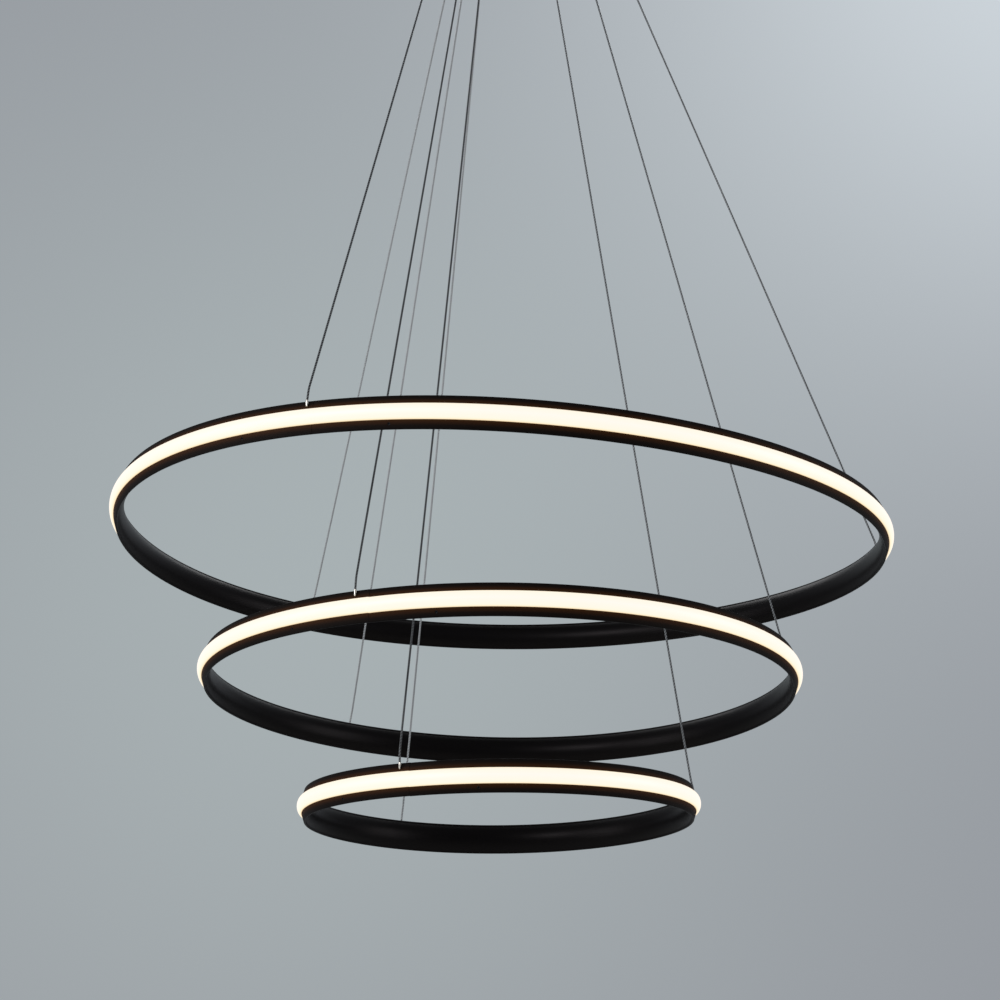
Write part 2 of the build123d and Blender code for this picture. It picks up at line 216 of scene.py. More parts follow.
@dataclass(frozen=True)
class AnodisedAluminium(Finish):
    """6063 bar, extruded, bent, bead-blasted and anodised black.

    The eye sees a nearly black satin with a sheen at shallow angles, faint drawing lines
    along the bar, and a painted glow: the band's warm light painted brown on the lips beside it.
    """

    relief: float = 0.00001
    stray: float = 0.04
    line_spacing: float = 0.0008  # the die's lines, drawn at 0.8 mm to show
    line_length: float = 2.0
    perimeter: float = 0.0955  # the section's
    lip_dullness: float = 0.25  # the lips' cut faces are rougher than the drawn wall
    lip_edge: Flat = (0.3, 0.35)  # where that ends, from the middle of the map
    shine: float = 0.08

    def pattern(self, tree: Tree) -> Inputs:
        """Painted glow of the band on the lips, by the place round the section; drawing lines and
        blasted grain.
        """
        where = add_node(tree, "UVMap", uv_map=BAR_MAP)
        scale = (1 / self.line_length, self.perimeter / self.line_spacing, 1.0)
        along = add_node(tree, "Mapping", {"Vector": where, "Scale": scale})
        size = {"Vector": along, "Scale": 1.0, "Detail": 2.0}
        lines = add_node(tree, "TexNoise", size, "Fac")
        side = off_middle(tree)
        # painted light: the band's warm glow painted brown on the lips beside it, fading to the bar's
        # own colour away from the band
        painted_glow_stops = [
            (0.19, "070605"), (0.222, "3a2107"), (0.245, "301906"), (0.275, "140b05"),
            (0.31, "050403"), (0.5, self.colour),
        ]
        tone = add_node(tree, "ValToRGB", {"Fac": side}, stops=painted_glow_stops)
        shade = [(0.3, "dddddd"), (0.75, "ffffff")]
        light = add_node(tree, "ValToRGB", {"Fac": lines}, stops=shade)
        looks = self.grain(tree)
        edge = {"Value": side, "From Min": self.lip_edge[0], "From Max": self.lip_edge[1]}
        drop = {"To Min": self.lip_dullness, "To Max": 0.0}
        dull = add_node(tree, "MapRange", edge | drop)
        tint = add_node(tree, "VectorMath", {0: tone, 1: light}, operation="MULTIPLY")
        rough = add_node(tree, "Math", {0: looks["Roughness"], 1: dull}, operation="ADD")
        return looks | {
            "Base Color": tint,
            "Roughness": rough,
            "Specular IOR Level": self.shine,
            "Specular Tint": linear("fff4f8"),
        }


@dataclass(frozen=True)
class OpalSilicone(Finish):
    """Milky silicone bar, extruded, lit warm white from the strip behind it.

    The eye sees an even glowing face, nearly white in the middle and creamy where the
    silicone is thicker, along the lips.
    """

    grit: float = 0.001
    stray: float = 0.03
    glow: float = 1.0

    def pattern(self, tree: Tree) -> Inputs:
        """Glow by the place across the band, with a fine grain in the gloss."""
        warmth = [
            (0.0, "fff4ea"), (0.17, "fff3e0"), (0.21, "fff0d2"), (0.228, "ffebc8"),
            (0.25, "f4d8a8"),
        ]
        glow = add_node(tree, "ValToRGB", {"Fac": off_middle(tree)}, stops=warmth)
        return self.grain(tree) | {"Emission Color": glow, "Emission Strength": self.glow}


@dataclass(frozen=True)
class JacketedWire(Finish):
    """Fine steel strands twisted together, with a clear jacket extruded over them.

    The eye sees a thin grey line with the strands' slanting light and dark turns under
    the gloss.
    """

    relief: float = 0.0001
    dark: str = "141516"
    bright: str = "6c6f72"
    lay_length: float = 0.006  # one turn of a strand; 6 mm on a 2 mm wire
    strands: int = 2  # drawn as two, so that the turns show
    shine: float = 0.3

    def pattern(self, tree: Tree) -> Inputs:
        """Slanting strands from the wire's own map: metres along, turns around."""
        around = {0: bar_part(tree, 1), 1: float(self.strands)}
        turn = {
            0: bar_part(tree, 0),
            1: self.strands / self.lay_length,
            2: add_node(tree, "Math", around, operation="MULTIPLY"),
        }
        strand = add_node(tree, "Math", turn, operation="MULTIPLY_ADD")
        wave = add_node(tree, "Math", {0: strand, 1: 0.5}, operation="PINGPONG")
        tones = [(0.05, self.dark), (0.25, self.colour), (0.5, self.bright)]
        relief = {"Height": wave, "Distance": self.relief, "Strength": 0.5}
        return {
            "Base Color": add_node(tree, "ValToRGB", {"Fac": wave}, stops=tones),
            "Normal": add_node(tree, "Bump", relief),
            "Specular IOR Level": self.shine,
        }


@dataclass(frozen=True)
class TurnedNickel(Finish):
    """Brass, turned and plated with satin nickel.

    The eye sees a warm silver whose highlights are drawn out round the turned parts.
    """

    grit: float = 0.5  # of the stretched map, which the tool marks set
    relief: float = 0.000006
    tool_mark: float = 0.0003

    def pattern(self, tree: Tree) -> Inputs:
        """Tool marks: a noise that changes along the axis only, and a soft tarnish."""
        where = add_node(tree, "TexCoord", output="Object")
        scale = (20.0, 20.0, 1 / self.tool_mark)
        marks = add_node(tree, "Mapping", {"Vector": where, "Scale": scale})
        tarnish = [(0.35, "bab4a9"), (0.65, "cfcac1")]
        return self.grain(tree, marks) | self.clouds(tree, 160.0, 2.0, tarnish)


@dataclass(frozen=True)
class ZincPlatedSteel(Finish):
    """Sheet and screws, zinc-plated and passivated.

    The eye sees a pale blue-grey metal with soft cloudy patches.
    """

    grit: float = 0.0006
    relief: float = 0.00001
    stray: float = 0.07
    bright: str = "c3c6c6"

    def pattern(self, tree: Tree) -> Inputs:
        """Clouds of a few millimetres in the colour, fine grain in the gloss."""
        patches = [(0.3, self.colour), (0.7, self.bright)]
        return self.grain(tree) | self.clouds(tree, 110.0, 4.0, patches)


@dataclass(frozen=True)
class PowderCoat(Finish):
    """Spun steel with a baked fine-texture powder coat.

    The eye sees a soft black whose highlights break up over a fine orange peel.
    """

    grit: float = 0.0007
    relief: float = 0.00006

    def pattern(self, tree: Tree) -> Inputs:
        """Orange peel, with a slight change of tone over centimetres."""
        tones = [(0.35, "18161a"), (0.7, "1f1d20")]
        return self.grain(tree) | self.clouds(tree, 18.0, 2.0, tones)


@dataclass(frozen=True)
class MouldedPlastic(Finish):
    """Injection-moulded part from a spark-eroded mould.

    The eye sees a plain even tone with a very fine matt grain.
    """

    shade: str = "d8d8d4"

    def pattern(self, tree: Tree) -> Inputs:
        """Spark grain and a faint change of tone where the plastic flowed."""
        flow = [(0.3, self.shade), (0.7, self.colour)]
        return self.grain(tree) | self.clouds(tree, 25.0, 1.0, flow)


@dataclass(frozen=True)
class StripBoard(Finish):
    """Flexible board with a white solder mask and a row of small LEDs.

    The eye sees a white band with square yellow chips, a little over 8 mm apart.
    """

    chip_spacing: float = 0.00833
    chip: str = "e9c66a"

    def pattern(self, tree: Tree) -> Inputs:
        """Chips by the metres along the strip."""
        pitch = {0: bar_part(tree, 0), 1: 1 / self.chip_spacing}
        along = add_node(tree, "Math", pitch, operation="MULTIPLY")
        place = add_node(tree, "Math", {0: along, 1: 0.5}, operation="PINGPONG")
        chips = [(0.16, self.chip), (0.2, self.colour)]
        return {"Base Color": add_node(tree, "ValToRGB", {"Fac": place}, stops=chips)}


ANODISED = AnodisedAluminium("anodised_black_aluminium", "anodised_aluminium", "070606", 0.38)
OPAL = OpalSilicone("opal_silicone_lit", "opal_silicone", "4a4844", 0.45, ior=1.41)
# The same wire three times in three tones: painted light and shade, each copy lighter or darker for
# how the light falls on its wire, not a difference in the wire.
WIRES = [
    JacketedWire(
        f"jacketed_steel_wire_painted_light_{tone}", "wire_jacket", middle, 0.3, ior=1.49,
        dark=dark, bright=bright,
    )
    for tone, dark, middle, bright in (
        ("grey", "323437", "585b5e", "86898c"),
        ("silver", "64676a", "8a8d90", "b0b3b6"),
        ("dark", "141516", "2c2e31", "6c6f72"),
    )
]
NICKEL = TurnedNickel("satin_nickel_on_brass", "nickel", "c8c2b8", 0.3, metallic=1.0)
ZINC = ZincPlatedSteel("zinc_plated_steel", "zinc_steel", "a2a7aa", 0.4, metallic=1.0)
BLACK_OXIDE = ZincPlatedSteel(
    "black_passivated_steel", "zinc_steel", "1d1d1f", 0.45, metallic=1.0, bright="2a2a2c"
)
CANOPY_PAINT = PowderCoat("fine_black_powder_coat", "canopy_paint", "1c1a1d", 0.55)
DRIVER_CASE = MouldedPlastic("white_polycarbonate", "driver_case", "e4e4e0", 0.42, ior=1.58)
TERMINAL_NYLON = MouldedPlastic(
    "natural_nylon", "terminal_nylon", "dcddcf", 0.4, ior=1.53, shade="cfd1c2"
)
RUBBER = MouldedPlastic("black_rubber", "rubber_black", "1b1b1b", 0.7, shade="131313")
STRIP = StripBoard("white_led_strip_board", "strip_board", "eeece4", 0.5)


# ------------------------------------------------------------------ meshes
def dress(piece: Piece, finish: Finish) -> Piece:
    """Gives a piece one finish, and returns the piece."""
    piece.data.materials.clear()
    piece.data.materials.append(finish.material())
    return piece


def fit(piece: Piece, finish: Finish, node: str, body: str) -> Piece:
    """Dresses a piece, lets it ride on a body and stand for a CAD node.

    Args:
        piece: the piece.
        finish: what it is made of.
        node: the node that it replaces.
        body: the body that it moves with.

    Returns:
        The piece.
    """
    dress(piece, finish)
    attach(piece, body)
    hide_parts(node)
    log.info("built %s", piece.name)
    return piece


def placed(name: str, mesh: bpy.types.Mesh) -> Piece:
    """Puts a mesh into the scene as a piece."""
    piece = bpy.data.objects.new(name, mesh)
    bpy.context.scene.collection.objects.link(piece)
    return piece


def shaped(name: str, work: bmesh.types.BMesh) -> Piece:
    """Makes a piece of a worked mesh, which is used up."""
    mesh = bpy.data.meshes.new(name)
    work.to_mesh(mesh)
    work.free()
    return placed(name, mesh)


def crisp(piece: Piece, angle: float = 35.0) -> Piece:
    """Smooths a piece but for its edges above an angle in degrees, and returns it."""
    piece.data.shade_smooth()
    piece.data.set_sharp_from_angle(angle=math.radians(angle))
    return piece


def make_piece(
    name: str,
    points: Iterable[Sequence[float]],
    faces: Iterable[Sequence[int]],
    corner_maps: Sequence[Flat] | None = None,
) -> Piece:
    """Makes a mesh piece from points in metres.

    Args:
        name: the piece's name.
        points: its corners.
        faces: corner numbers of each face.
        corner_maps: the bar map's value at each corner of each face, in face order.

    Returns:
        The piece, linked into the scene.
    """
    mesh = bpy.data.meshes.new(name)
    mesh.from_pydata([tuple(p) for p in points], [], [tuple(f) for f in faces])
    if corner_maps is not None:
        layer = mesh.uv_layers.new(name=BAR_MAP)
        layer.data.foreach_set("uv", [value for pair in corner_maps for value in pair])
    mesh.validate()
    return crisp(placed(name, mesh))


def sweep(
    name: str,
    section: Sequence[Flat],
    frames: Sequence[Matrix],
    lengths: Sequence[float],
    unit_map: bool = False,
) -> Piece:
    """Carries a closed section through a row of places, and caps its ends.

    Args:
        name: the piece's name.
        section: corners of the section, in metres, in each place's XZ plane.
        frames: the places, in order.
        lengths: metres along the row at each place, for the bar map.
        unit_map: whether the map runs from 0 to 1 across the section, not in metres.

    Returns:
        The piece.
    """
    count = len(section)
    points = [place @ Vector((x, 0, z)) for place in frames for x, z in section]
    around = [0.0]
    for (x, z), (x_next, z_next) in zip(section, [*section[1:], section[0]]):
        around.append(around[-1] + math.hypot(x_next - x, z_next - z))
    if unit_map:
        around = [value / around[-1] for value in around]
    faces, maps = [], []
    for row in range(len(frames) - 1):
        low, high = row * count, (row + 1) * count
        for k in range(count):
            after = (k + 1) % count
            faces.append((low + k, low + after, high + after, high + k))
            start, end = lengths[row], lengths[row + 1]
            maps += [(start, around[k]), (start, around[k + 1])]
            maps += [(end, around[k + 1]), (end, around[k])]
    first, last = list(range(count)), list(range(len(points) - count, len(points)))
    faces += [first[::-1], last]
    maps += [(lengths[0], around[k]) for k in reversed(range(count))]
    maps += [(lengths[-1], around[k]) for k in range(count)]
    return make_piece(name, points, faces, corner_maps=maps)


def lathe(name: str, outline: Sequence[Flat], sides: int = 48) -> Piece:
    """Turns an outline about the Z axis.

    Args:
        name: the piece's name.
        outline: (radius, height) pairs in metres, from the foot up; a closed hollow
            outline comes back to its first point, a solid one starts and ends on the axis.
        sides: faces round the axis.

    Returns:
        The piece.
    """
    hollow = outline[0] == outline[-1]
    row = list(outline[:-1]) if hollow else list(outline)
    points: list[Vector] = []
    rings: list[list[int]] = []
    for radius, height in row:
        if radius == 0:
            rings.append([len(points)] * sides)
            points.append(Vector((0, 0, height)))
            continue
        rings.append(list(range(len(points), len(points) + sides)))
        for k in range(sides):
            turn = 2 * math.pi * k / sides
            points.append(Vector((radius * math.cos(turn), radius * math.sin(turn), height)))
    faces = []
    pairs = zip(rings, rings[1:] + rings[:1] if hollow else rings[1:])
    for low, high in pairs:
        for k in range(sides):
            after = (k + 1) % sides
            corners = [low[k], low[after], high[after], high[k]]
            face = [c for i, c in enumerate(corners) if c not in corners[:i]]
            if len(face) > 2:
                faces.append(face)
    return make_piece(name, points, faces)


def rounded(
    corners: Sequence[tuple[float, float, float]], steps: int = 5, closed: bool = False
) -> list[Flat]:
    """Rounds an outline's corners.

    Args:
        corners: (x, z, radius) of each corner; radius 0 keeps it.
        steps: spans in each rounding.
        closed: whether the outline runs on from its last corner to its first.

    Returns:
        The outline's points.
    """
    result: list[Flat] = []
    for k, (x, z, radius) in enumerate(corners):
        if radius == 0 or (not closed and k in (0, len(corners) - 1)):
            result.append((x, z))
            continue
        here = Vector((x, z))
        back = (Vector(corners[k - 1][:2]) - here).normalized()
        on = (Vector(corners[(k + 1) % len(corners)][:2]) - here).normalized()
        half = back.angle(on) / 2
        reach = radius / math.tan(half)
        middle = here + (back + on).normalized() * (radius / math.sin(half))
        start, end = here + back * reach, here + on * reach
        first = math.atan2(start.y - middle.y, start.x - middle.x)
        swing = math.atan2(end.y - middle.y, end.x - middle.x) - first
        swing = (swing + math.pi) % (2 * math.pi) - math.pi
        for step in range(steps + 1):
            turn = first + swing * step / steps
            result.append(
                (middle.x + radius * math.cos(turn), middle.y + radius * math.sin(turn))
            )
    return result


def rectangle(length: float, width: float, radius: float = 0.0) -> list[Flat]:
    """Outline of a rectangle about the origin, with rounded corners."""
    x, y = length / 2, width / 2
    corners = [(x, y, radius), (-x, y, radius), (-x, -y, radius), (x, -y, radius)]
    return rounded(corners, closed=True)


def circle(radius: float, middle: Flat = (0.0, 0.0), sides: int = 32) -> list[Flat]:
    """Outline of a circle."""
    turns = [2 * math.pi * k / sides for k in range(sides)]
    return [(middle[0] + radius * math.cos(t), middle[1] + radius * math.sin(t)) for t in turns]


def threaded(radius: float, foot: float, top: float, pitch: float) -> list[Flat]:
    """Outline of a screw's thread, drawn as grooves round it.

    Args:
        radius: outer radius.
        foot: height that the thread starts at.
        top: height that it ends at.
        pitch: crest to crest.

    Returns:
        (radius, height) pairs from the foot up.
    """
    count = int((top - foot) / pitch)
    root = radius - 0.4 * pitch
    points = [(root, foot)]
    for k in range(count):
        points += [(radius, foot + (k + 0.5) * pitch), (root, foot + (k + 1) * pitch)]
    return points + [(root - 0.1 * radius, top), (0.0, top)]


def scaled(points: Iterable[Flat], size: float = MM) -> list[Flat]:
    """Millimetre pairs as metres."""
    return [(x * size, z * size) for x, z in points]


def move(piece: Piece, place: Matrix) -> Piece:
    """Moves a piece's own mesh to a place, and returns the piece."""
    piece.data.transform(place)
    return piece


def join(name: str, pieces: Sequence[Piece]) -> Piece:
    """Makes one piece of several.

    Args:
        name: the joined piece's name.
        pieces: what goes into it; they are used up.

    Returns:
        The joined piece.
    """
    work = bmesh.new()
    for piece in pieces:
        piece.data.transform(piece.matrix_world)
        work.from_mesh(piece.data)
        bpy.data.objects.remove(piece)
    return shaped(name, work)


def applied(piece: Piece) -> Piece:
    """Makes a piece's modifiers part of its mesh, and returns the piece."""
    bpy.context.view_layer.update()
    graph = bpy.context.evaluated_depsgraph_get()
    mesh = bpy.data.meshes.new_from_object(piece.evaluated_get(graph))
    piece.modifiers.clear()
    piece.data = mesh
    return piece


def eased(piece: Piece, width: float, steps: int = 2) -> Piece:
    """Rounds a piece's sharp edges by a width in metres, and returns the piece."""
    bevel = piece.modifiers.new("eased_edges", "BEVEL")
    bevel.width, bevel.segments = width, steps
    bevel.limit_method, bevel.angle_limit = "ANGLE", math.radians(SHARP)
    return crisp(applied(piece), SHARP)


def cut(
    piece: Piece, tool: Piece, operation: str = "DIFFERENCE"
) -> Piece:
    """Cuts a piece with a tool, which is used up.

    Args:
        piece: what is cut.
        tool: a closed mesh.
        operation: Blender's name for the operation.

    Returns:
        The piece.
    """
    knife = piece.modifiers.new("cut", "BOOLEAN")
    knife.operation, knife.object, knife.solver = operation, tool, "EXACT"
    applied(piece)
    bpy.data.objects.remove(tool)
    return piece


def slab(
    name: str,
    outline: Sequence[Flat],
    foot: float,
    top: float,
    holes: Sequence[Sequence[Flat]] = (),
) -> Piece:
    """Makes a plate from millimetre sizes.

    Args:
        name: the piece's name.
        outline: its corners.
        foot: height of its lower face.
        top: height of its upper face.
        holes: outlines of the holes through it.

    Returns:
        The piece.
    """
    work = bmesh.new()
    edges = []
    for loop in (outline, *holes):
        corners = [work.verts.new((x * MM, y * MM, foot * MM)) for x, y in loop]
        edges += [work.edges.new(pair) for pair in zip(corners, corners[1:] + corners[:1])]
    filled = bmesh.ops.triangle_fill(work, use_beauty=True, use_dissolve=False, edges=edges)
    faces = [part for part in filled["geom"] if isinstance(part, bmesh.types.BMFace)]
    raised = bmesh.ops.extrude_face_region(work, geom=faces, use_keep_orig=True)
    upper = [part for part in raised["geom"] if isinstance(part, bmesh.types.BMVert)]
    bmesh.ops.translate(work, verts=upper, vec=(0, 0, (top - foot) * MM))
    bmesh.ops.recalc_face_normals(work, faces=work.faces)
    return crisp(shaped(name, work))


def knurl(
    piece: Piece, radius: float, foot: float, top: float, depth: float
) -> Piece:
    """Presses grip lines into a turned piece's outer wall.

    Args:
        piece: the turned piece; every second corner round it goes in.
        radius: the wall's radius, in millimetres.
        foot: lowest height of the lines.
        top: highest height of the lines.
        depth: how deep they are.

    Returns:
        The piece.
    """
    for vertex in piece.data.vertices:
        out = Vector(vertex.co[:2]).length
        if abs(out - radius * MM) < 1e-5 and foot * MM < vertex.co.z < top * MM:
            if vertex.index % 2:
                share = 1 - depth / radius
                vertex.co.x, vertex.co.y = vertex.co.x * share, vertex.co.y * share
    return piece


class Drive(Enum):
    """What a screw is driven by."""

    CROSS = "cross"
    SLOT = "slot"
    HEXAGON = "hexagon"


def recess(drive: Drive, reach: float, low: float, high: float) -> Piece:
    """Shape of a screw's recess.

    Args:
        drive: its kind.
        reach: distance from its middle to its ends, in millimetres.
        low: height that it starts at.
        high: height that it ends at.

    Returns:
        A closed mesh to cut the head with.
    """
    if drive is Drive.HEXAGON:
        return slab("recess", circle(reach, sides=6), low, high)
    length, width = 2 * reach, 0.36 * reach
    bar = slab("recess", rectangle(length, width), low, high)
    if drive is Drive.CROSS:
        return cut(bar, slab("arm", rectangle(width, length), low, high), "UNION")
    return bar


@dataclass
class PanScrew:
    """A domed screw driven upwards into the bracket. Sizes are in millimetres."""

    radius: float
    head_radius: float
    head_length: float
    grip: float
    drive: Drive
    pitch: float = 0.7
    seat_gap: float = 0.02
    tip: float = 1.0  # how far the thread stands out of the sheet
    sheet: float = 2.0

    def build(self, x: float, y: float) -> Piece:
        """Makes the screw at a place on the bracket's underside.

        Args:
            x: its place along the bracket.
            y: its place across it.

        Returns:
            The screw.
        """
        low = -self.seat_gap - self.grip - self.head_length
        head, high = self.head_radius, low + self.head_length
        length = self.head_length
        dome = [
            (0, low), (0.5 * head, low + 0.04), (0.78 * head, low + 0.2 * length),
            (0.95 * head, low + 0.5 * length), (head, low + 0.8 * length),
            (head, high - 0.05), (head - 0.1, high),
        ]
        top = high + self.grip + self.tip
        outline = dome + threaded(self.radius, high, top, self.pitch)
        screw = lathe("screw", scaled(outline), 28)
        cut(screw, recess(self.drive, 0.55 * head, low - 1, low + 0.55 * self.head_length))
        return move(screw, Matrix.Translation((x * MM, y * MM, -self.sheet * MM)))


# ------------------------------------------------------------------ wires
@dataclass
class SuspensionWire:
    """One jacketed steel wire from its gripper to its hook, pulled straight by the ring."""

    node: str
    ring_body: str
    route: list[Point]
    finish: JacketedWire
    diameter: float = 2.0 * MM
    sides: int = 12

    def centre_line(self) -> list[Vector]:
        """Points along the route's smooth spline, read from a curve without a bevel."""
        curve = bpy.data.curves.new(f"{self.node}_route", "CURVE")
        curve.dimensions = "3D"
        curve.resolution_u = 24
        spline = curve.splines.new("NURBS")
        spline.points.add(len(self.route) - 1)
        for point, place in zip(spline.points, self.route):
            point.co = (*place, 1.0)
        spline.order_u = 3
        spline.use_endpoint_u = True
        holder = bpy.data.objects.new(curve.name, curve)
        bpy.context.scene.collection.objects.link(holder)
        bpy.context.view_layer.update()
        line = bpy.data.meshes.new_from_object(holder)
        points = [vertex.co.copy() for vertex in line.vertices]
        bpy.data.objects.remove(holder)
        bpy.data.curves.remove(curve)
        bpy.data.meshes.remove(line)
        start = Vector(self.route[0])
        if (points[0] - start).length > (points[-1] - start).length:
            points.reverse()
        return points

    def build(self) -> Piece:
        """Makes the wire, bent along its route between canopy and ring."""
        line = self.centre_line()
        radius = self.diameter / 2
        section = circle(radius, sides=self.sides)
        frames, lengths, total = [], [], 0.0
        for k, point in enumerate(line):
            ahead = line[min(k + 1, len(line) - 1)] - line[max(k - 1, 0)]
            along = ahead.normalized()
            side = along.cross(Vector((0.6, 0.8, 0))).normalized()
            turned = Matrix((side, along, side.cross(along))).transposed().to_4x4()
            frames.append(Matrix.Translation(point) @ turned)
            total += (point - line[k - 1]).length if k else 0.0
            lengths.append(total)
        piece = dress(
            sweep(self.node + "_jacketed", section, frames, lengths, unit_map=True), self.finish
        )
        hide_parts(self.node)
        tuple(self.route[0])
        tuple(self.route[0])
        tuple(self.route[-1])
        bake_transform(piece)
        log.info("built %s, %.0f mm long", piece.name, total / MM)
        return piece


# ------------------------------------------------------------------ rings
@dataclass
class LitRing:
    """One bent bar with its opal band, hooks and joint. Sizes are in millimetres.

    The bend leaves the bar a little out of its own plane, twice up and twice down round
    the ring; bow is how far. Past the seam the bar's end lies lower by seam_step.
    """

    title: str
    diameter: float
    drop: float
    tilt_x: float
    tilt_y: float
    turn: float
    bow: Flat
    seam_angle: float
    seam_step: float
    routes: list[list[Point]]
    joint_angle: float = 240.6
    seam_gap: float = 0.3
    lip_setback: float = 4.6
    half_mouth: float = 7.3
    half_height: float = 15.4
    crown_setback: float = 2.6
    spans: int = 288
    hook_angles: tuple[float, ...] = (0.0, 120.0, 240.0)
    joint_screw_spread: float = 150.0
    joint_screw_height: float = -10.9
    joint_hole_radius: float = 1.35
    joiner_half: float = 86.0
    seam_fade: float = 25.0  # how soon the bar is back at its height past the seam
    hollow: float = 20.3  # radius of the inner wall's hollow
    hollow_middle: float = 5.65
    hollow_reach: float = 13.8
    band_half: float = 7.2
    band_back: float = 6.9
    strip_half: float = 5.0
    strip_thickness: float = 0.8
    hook_hole_height: float = 9.9

    @property
    def body(self) -> str:
        """The CAD body that all of the ring rides on."""
        return f"{self.title}_ring"

    @property
    def place(self) -> Matrix:
        """From the ring's own frame to the chandelier's."""
        return (
            Matrix.Translation((0, 0, -self.drop * MM))
            @ Matrix.Rotation(math.radians(self.tilt_x), 4, "X")
            @ Matrix.Rotation(math.radians(self.tilt_y), 4, "Y")
            @ Matrix.Rotation(math.radians(self.turn), 4, "Z")
        )

    def lift(self, angle: float) -> Matrix:
        """How far the bar lies out of its plane, at an angle in radians."""
        turn = 2 * (angle + math.radians(self.turn))
        rise = self.bow[0] * math.cos(turn) + self.bow[1] * math.sin(turn)
        past = math.radians((math.degrees(angle) - self.seam_angle) % 360) * self.diameter / 2
        rise -= self.seam_step * math.exp(-past / self.seam_fade)
        return Matrix.Translation((0, 0, rise * MM))

    def bar_section(self) -> list[Flat]:
        """The extrusion's section: (distance from the outer radius, height)."""
        steps = 12
        heights = [self.hollow_reach * step / steps for step in range(steps + 1)]
        corners = [
            (self.hollow_middle - math.sqrt(self.hollow**2 - height**2), height, 0.0)
            for height in heights
        ]
        corners += [
            (-9.0, self.half_height, 1.0),
            (-self.lip_setback - self.crown_setback, self.half_height, 0.5),
            (-self.lip_setback, self.half_mouth, 0.25),
            (-self.lip_setback - 1.8, self.half_mouth, 0.0),
            (-self.lip_setback - 3.3, 12.9, 0.0),
            (-self.lip_setback - 7.8, 5.5, 0.0),
        ]
        upper = rounded(corners)
        return upper + [(x, -z) for x, z in reversed(upper[1:])]

    def band_section(self) -> list[Flat]:
        """The opal band's section, from the middle of its back, with its crowned face."""
        half, back, foot, steps = self.band_half, -self.band_back, -self.lip_setback, 28
        face = []
        for step in range(steps + 1):
            turn = math.pi * (step / steps - 0.5)
            face.append((foot * (1 - math.cos(turn)), half * math.sin(turn)))
        return [(back, 0.0), (back, -half), *face, (back, half)]

    def bend(
        self,
        name: str,
        section: Sequence[Flat],
        start: float,
        swing: float,
        spans: int,
        unit_map: bool = False,
    ) -> Piece:
        """Bends a section round the ring's axis.

        Args:
            name: the piece's name.
            section: (distance from the outer radius, height), in millimetres.
            start: angle that it starts at, in degrees.
            swing: degrees that it goes round.
            spans: steps along it.
            unit_map: as for sweep.

        Returns:
            The piece, in the ring's place.
        """
        outer = self.diameter / 2
        angles = [math.radians(start + swing * k / spans) for k in range(spans + 1)]
        frames = [self.lift(angle) @ Matrix.Rotation(angle, 4, "Z") for angle in angles]
        lengths = [outer * MM * (angle - angles[0]) for angle in angles]
        corners = scaled([(x + outer, z) for x, z in section])
        piece = sweep(name, corners, frames, lengths, unit_map=unit_map)
        return move(piece, self.place)

    def mount(self, piece: Piece, finish: Finish, part: str) -> Piece:
        """Fits a piece to the ring, for a part of its CAD."""
        return fit(piece, finish, f"{self.title}_{part}", self.body)

    def open_ring(self, name: str, section: Sequence[Flat]) -> Piece:
        """Bends a section once round, open by the seam.

        Args:
            name: the piece's name after the ring's.
            section: as for bend.

        Returns:
            The piece, in the ring's place.
        """
        gap = math.degrees(self.seam_gap * 2 / self.diameter)
        start = self.seam_angle + gap / 2
        return self.bend(f"{self.title}_{name}", section, start, 360 - gap, self.spans, True)

    def build_bar(self) -> Piece:
        """The bent extrusion, drilled for the joint's screws."""
        piece = self.open_ring("bent_bar", self.bar_section())
        drills = []
        for angle in self.screw_angles():
            drill = slab("drill", circle(self.joint_hole_radius, sides=20), -2.6, 1.0)
            drills.append(move(drill, self.slope_place(angle, self.joint_screw_height)))
        cut(piece, move(join("drills", drills), self.place))
        return self.mount(crisp(piece), ANODISED, "ring_profile")

    def build_band(self) -> Piece:
        """The opal band between the lips."""
        piece = self.open_ring("opal_band", self.band_section())
        return self.mount(piece, OPAL, "ring_diffuser")

    def build_strip(self) -> Piece:
        """The light strip on the channel's seat."""
        back, half = -self.lip_setback - 7.78, self.strip_half
        face = back + self.strip_thickness
        section = [(back, -half), (face, -half), (face, half), (back, half)]
        piece = self.bend(
            f"{self.title}_led_strip", section, self.joint_angle + 0.3, 359.4, 144
        )
        return self.mount(piece, STRIP, "light_strip")

    def build_joiner(self) -> Piece:
        """The wedge bar that bridges the seam in the lower pocket."""
        section = [(-7.81, -11.9), (-6.86, -8.6), (-10.31, -8.6), (-8.31, -11.9)]
        half = math.degrees(2 * self.joiner_half / self.diameter)
        piece = self.bend(
            f"{self.title}_wedge_joiner", section, self.joint_angle - half, 2 * half, 24
        )
        return self.mount(eased(piece, 0.2 * MM), ZINC, "ring_joiner")

    def screw_angles(self) -> tuple[float, float]:
        """Degrees round the ring of the joint's two screws."""
        half = math.degrees(self.joint_screw_spread / self.diameter)
        return self.joint_angle - half, self.joint_angle + half

    def slope_place(self, angle: float, height: float) -> Matrix:
        """Place on a lip's slope.

        Args:
            angle: degrees round the ring.
            height: from the middle plane, in millimetres, negative on the lower lip.

        Returns:
            A place whose Z axis points out of the lip, in the ring's own frame.
        """
        side = math.copysign(1.0, height)
        slope = self.crown_setback / (self.half_height - self.half_mouth)
        out = self.diameter / 2 - self.lip_setback - slope * (abs(height) - self.half_mouth)
        tilt = math.pi / 2 - side * math.atan(slope)
        return (
            self.lift(math.radians(angle))
            @ Matrix.Rotation(math.radians(angle), 4, "Z")
            @ Matrix.Translation((out * MM, 0, height * MM))
            @ Matrix.Rotation(tilt, 4, "Y")
        )

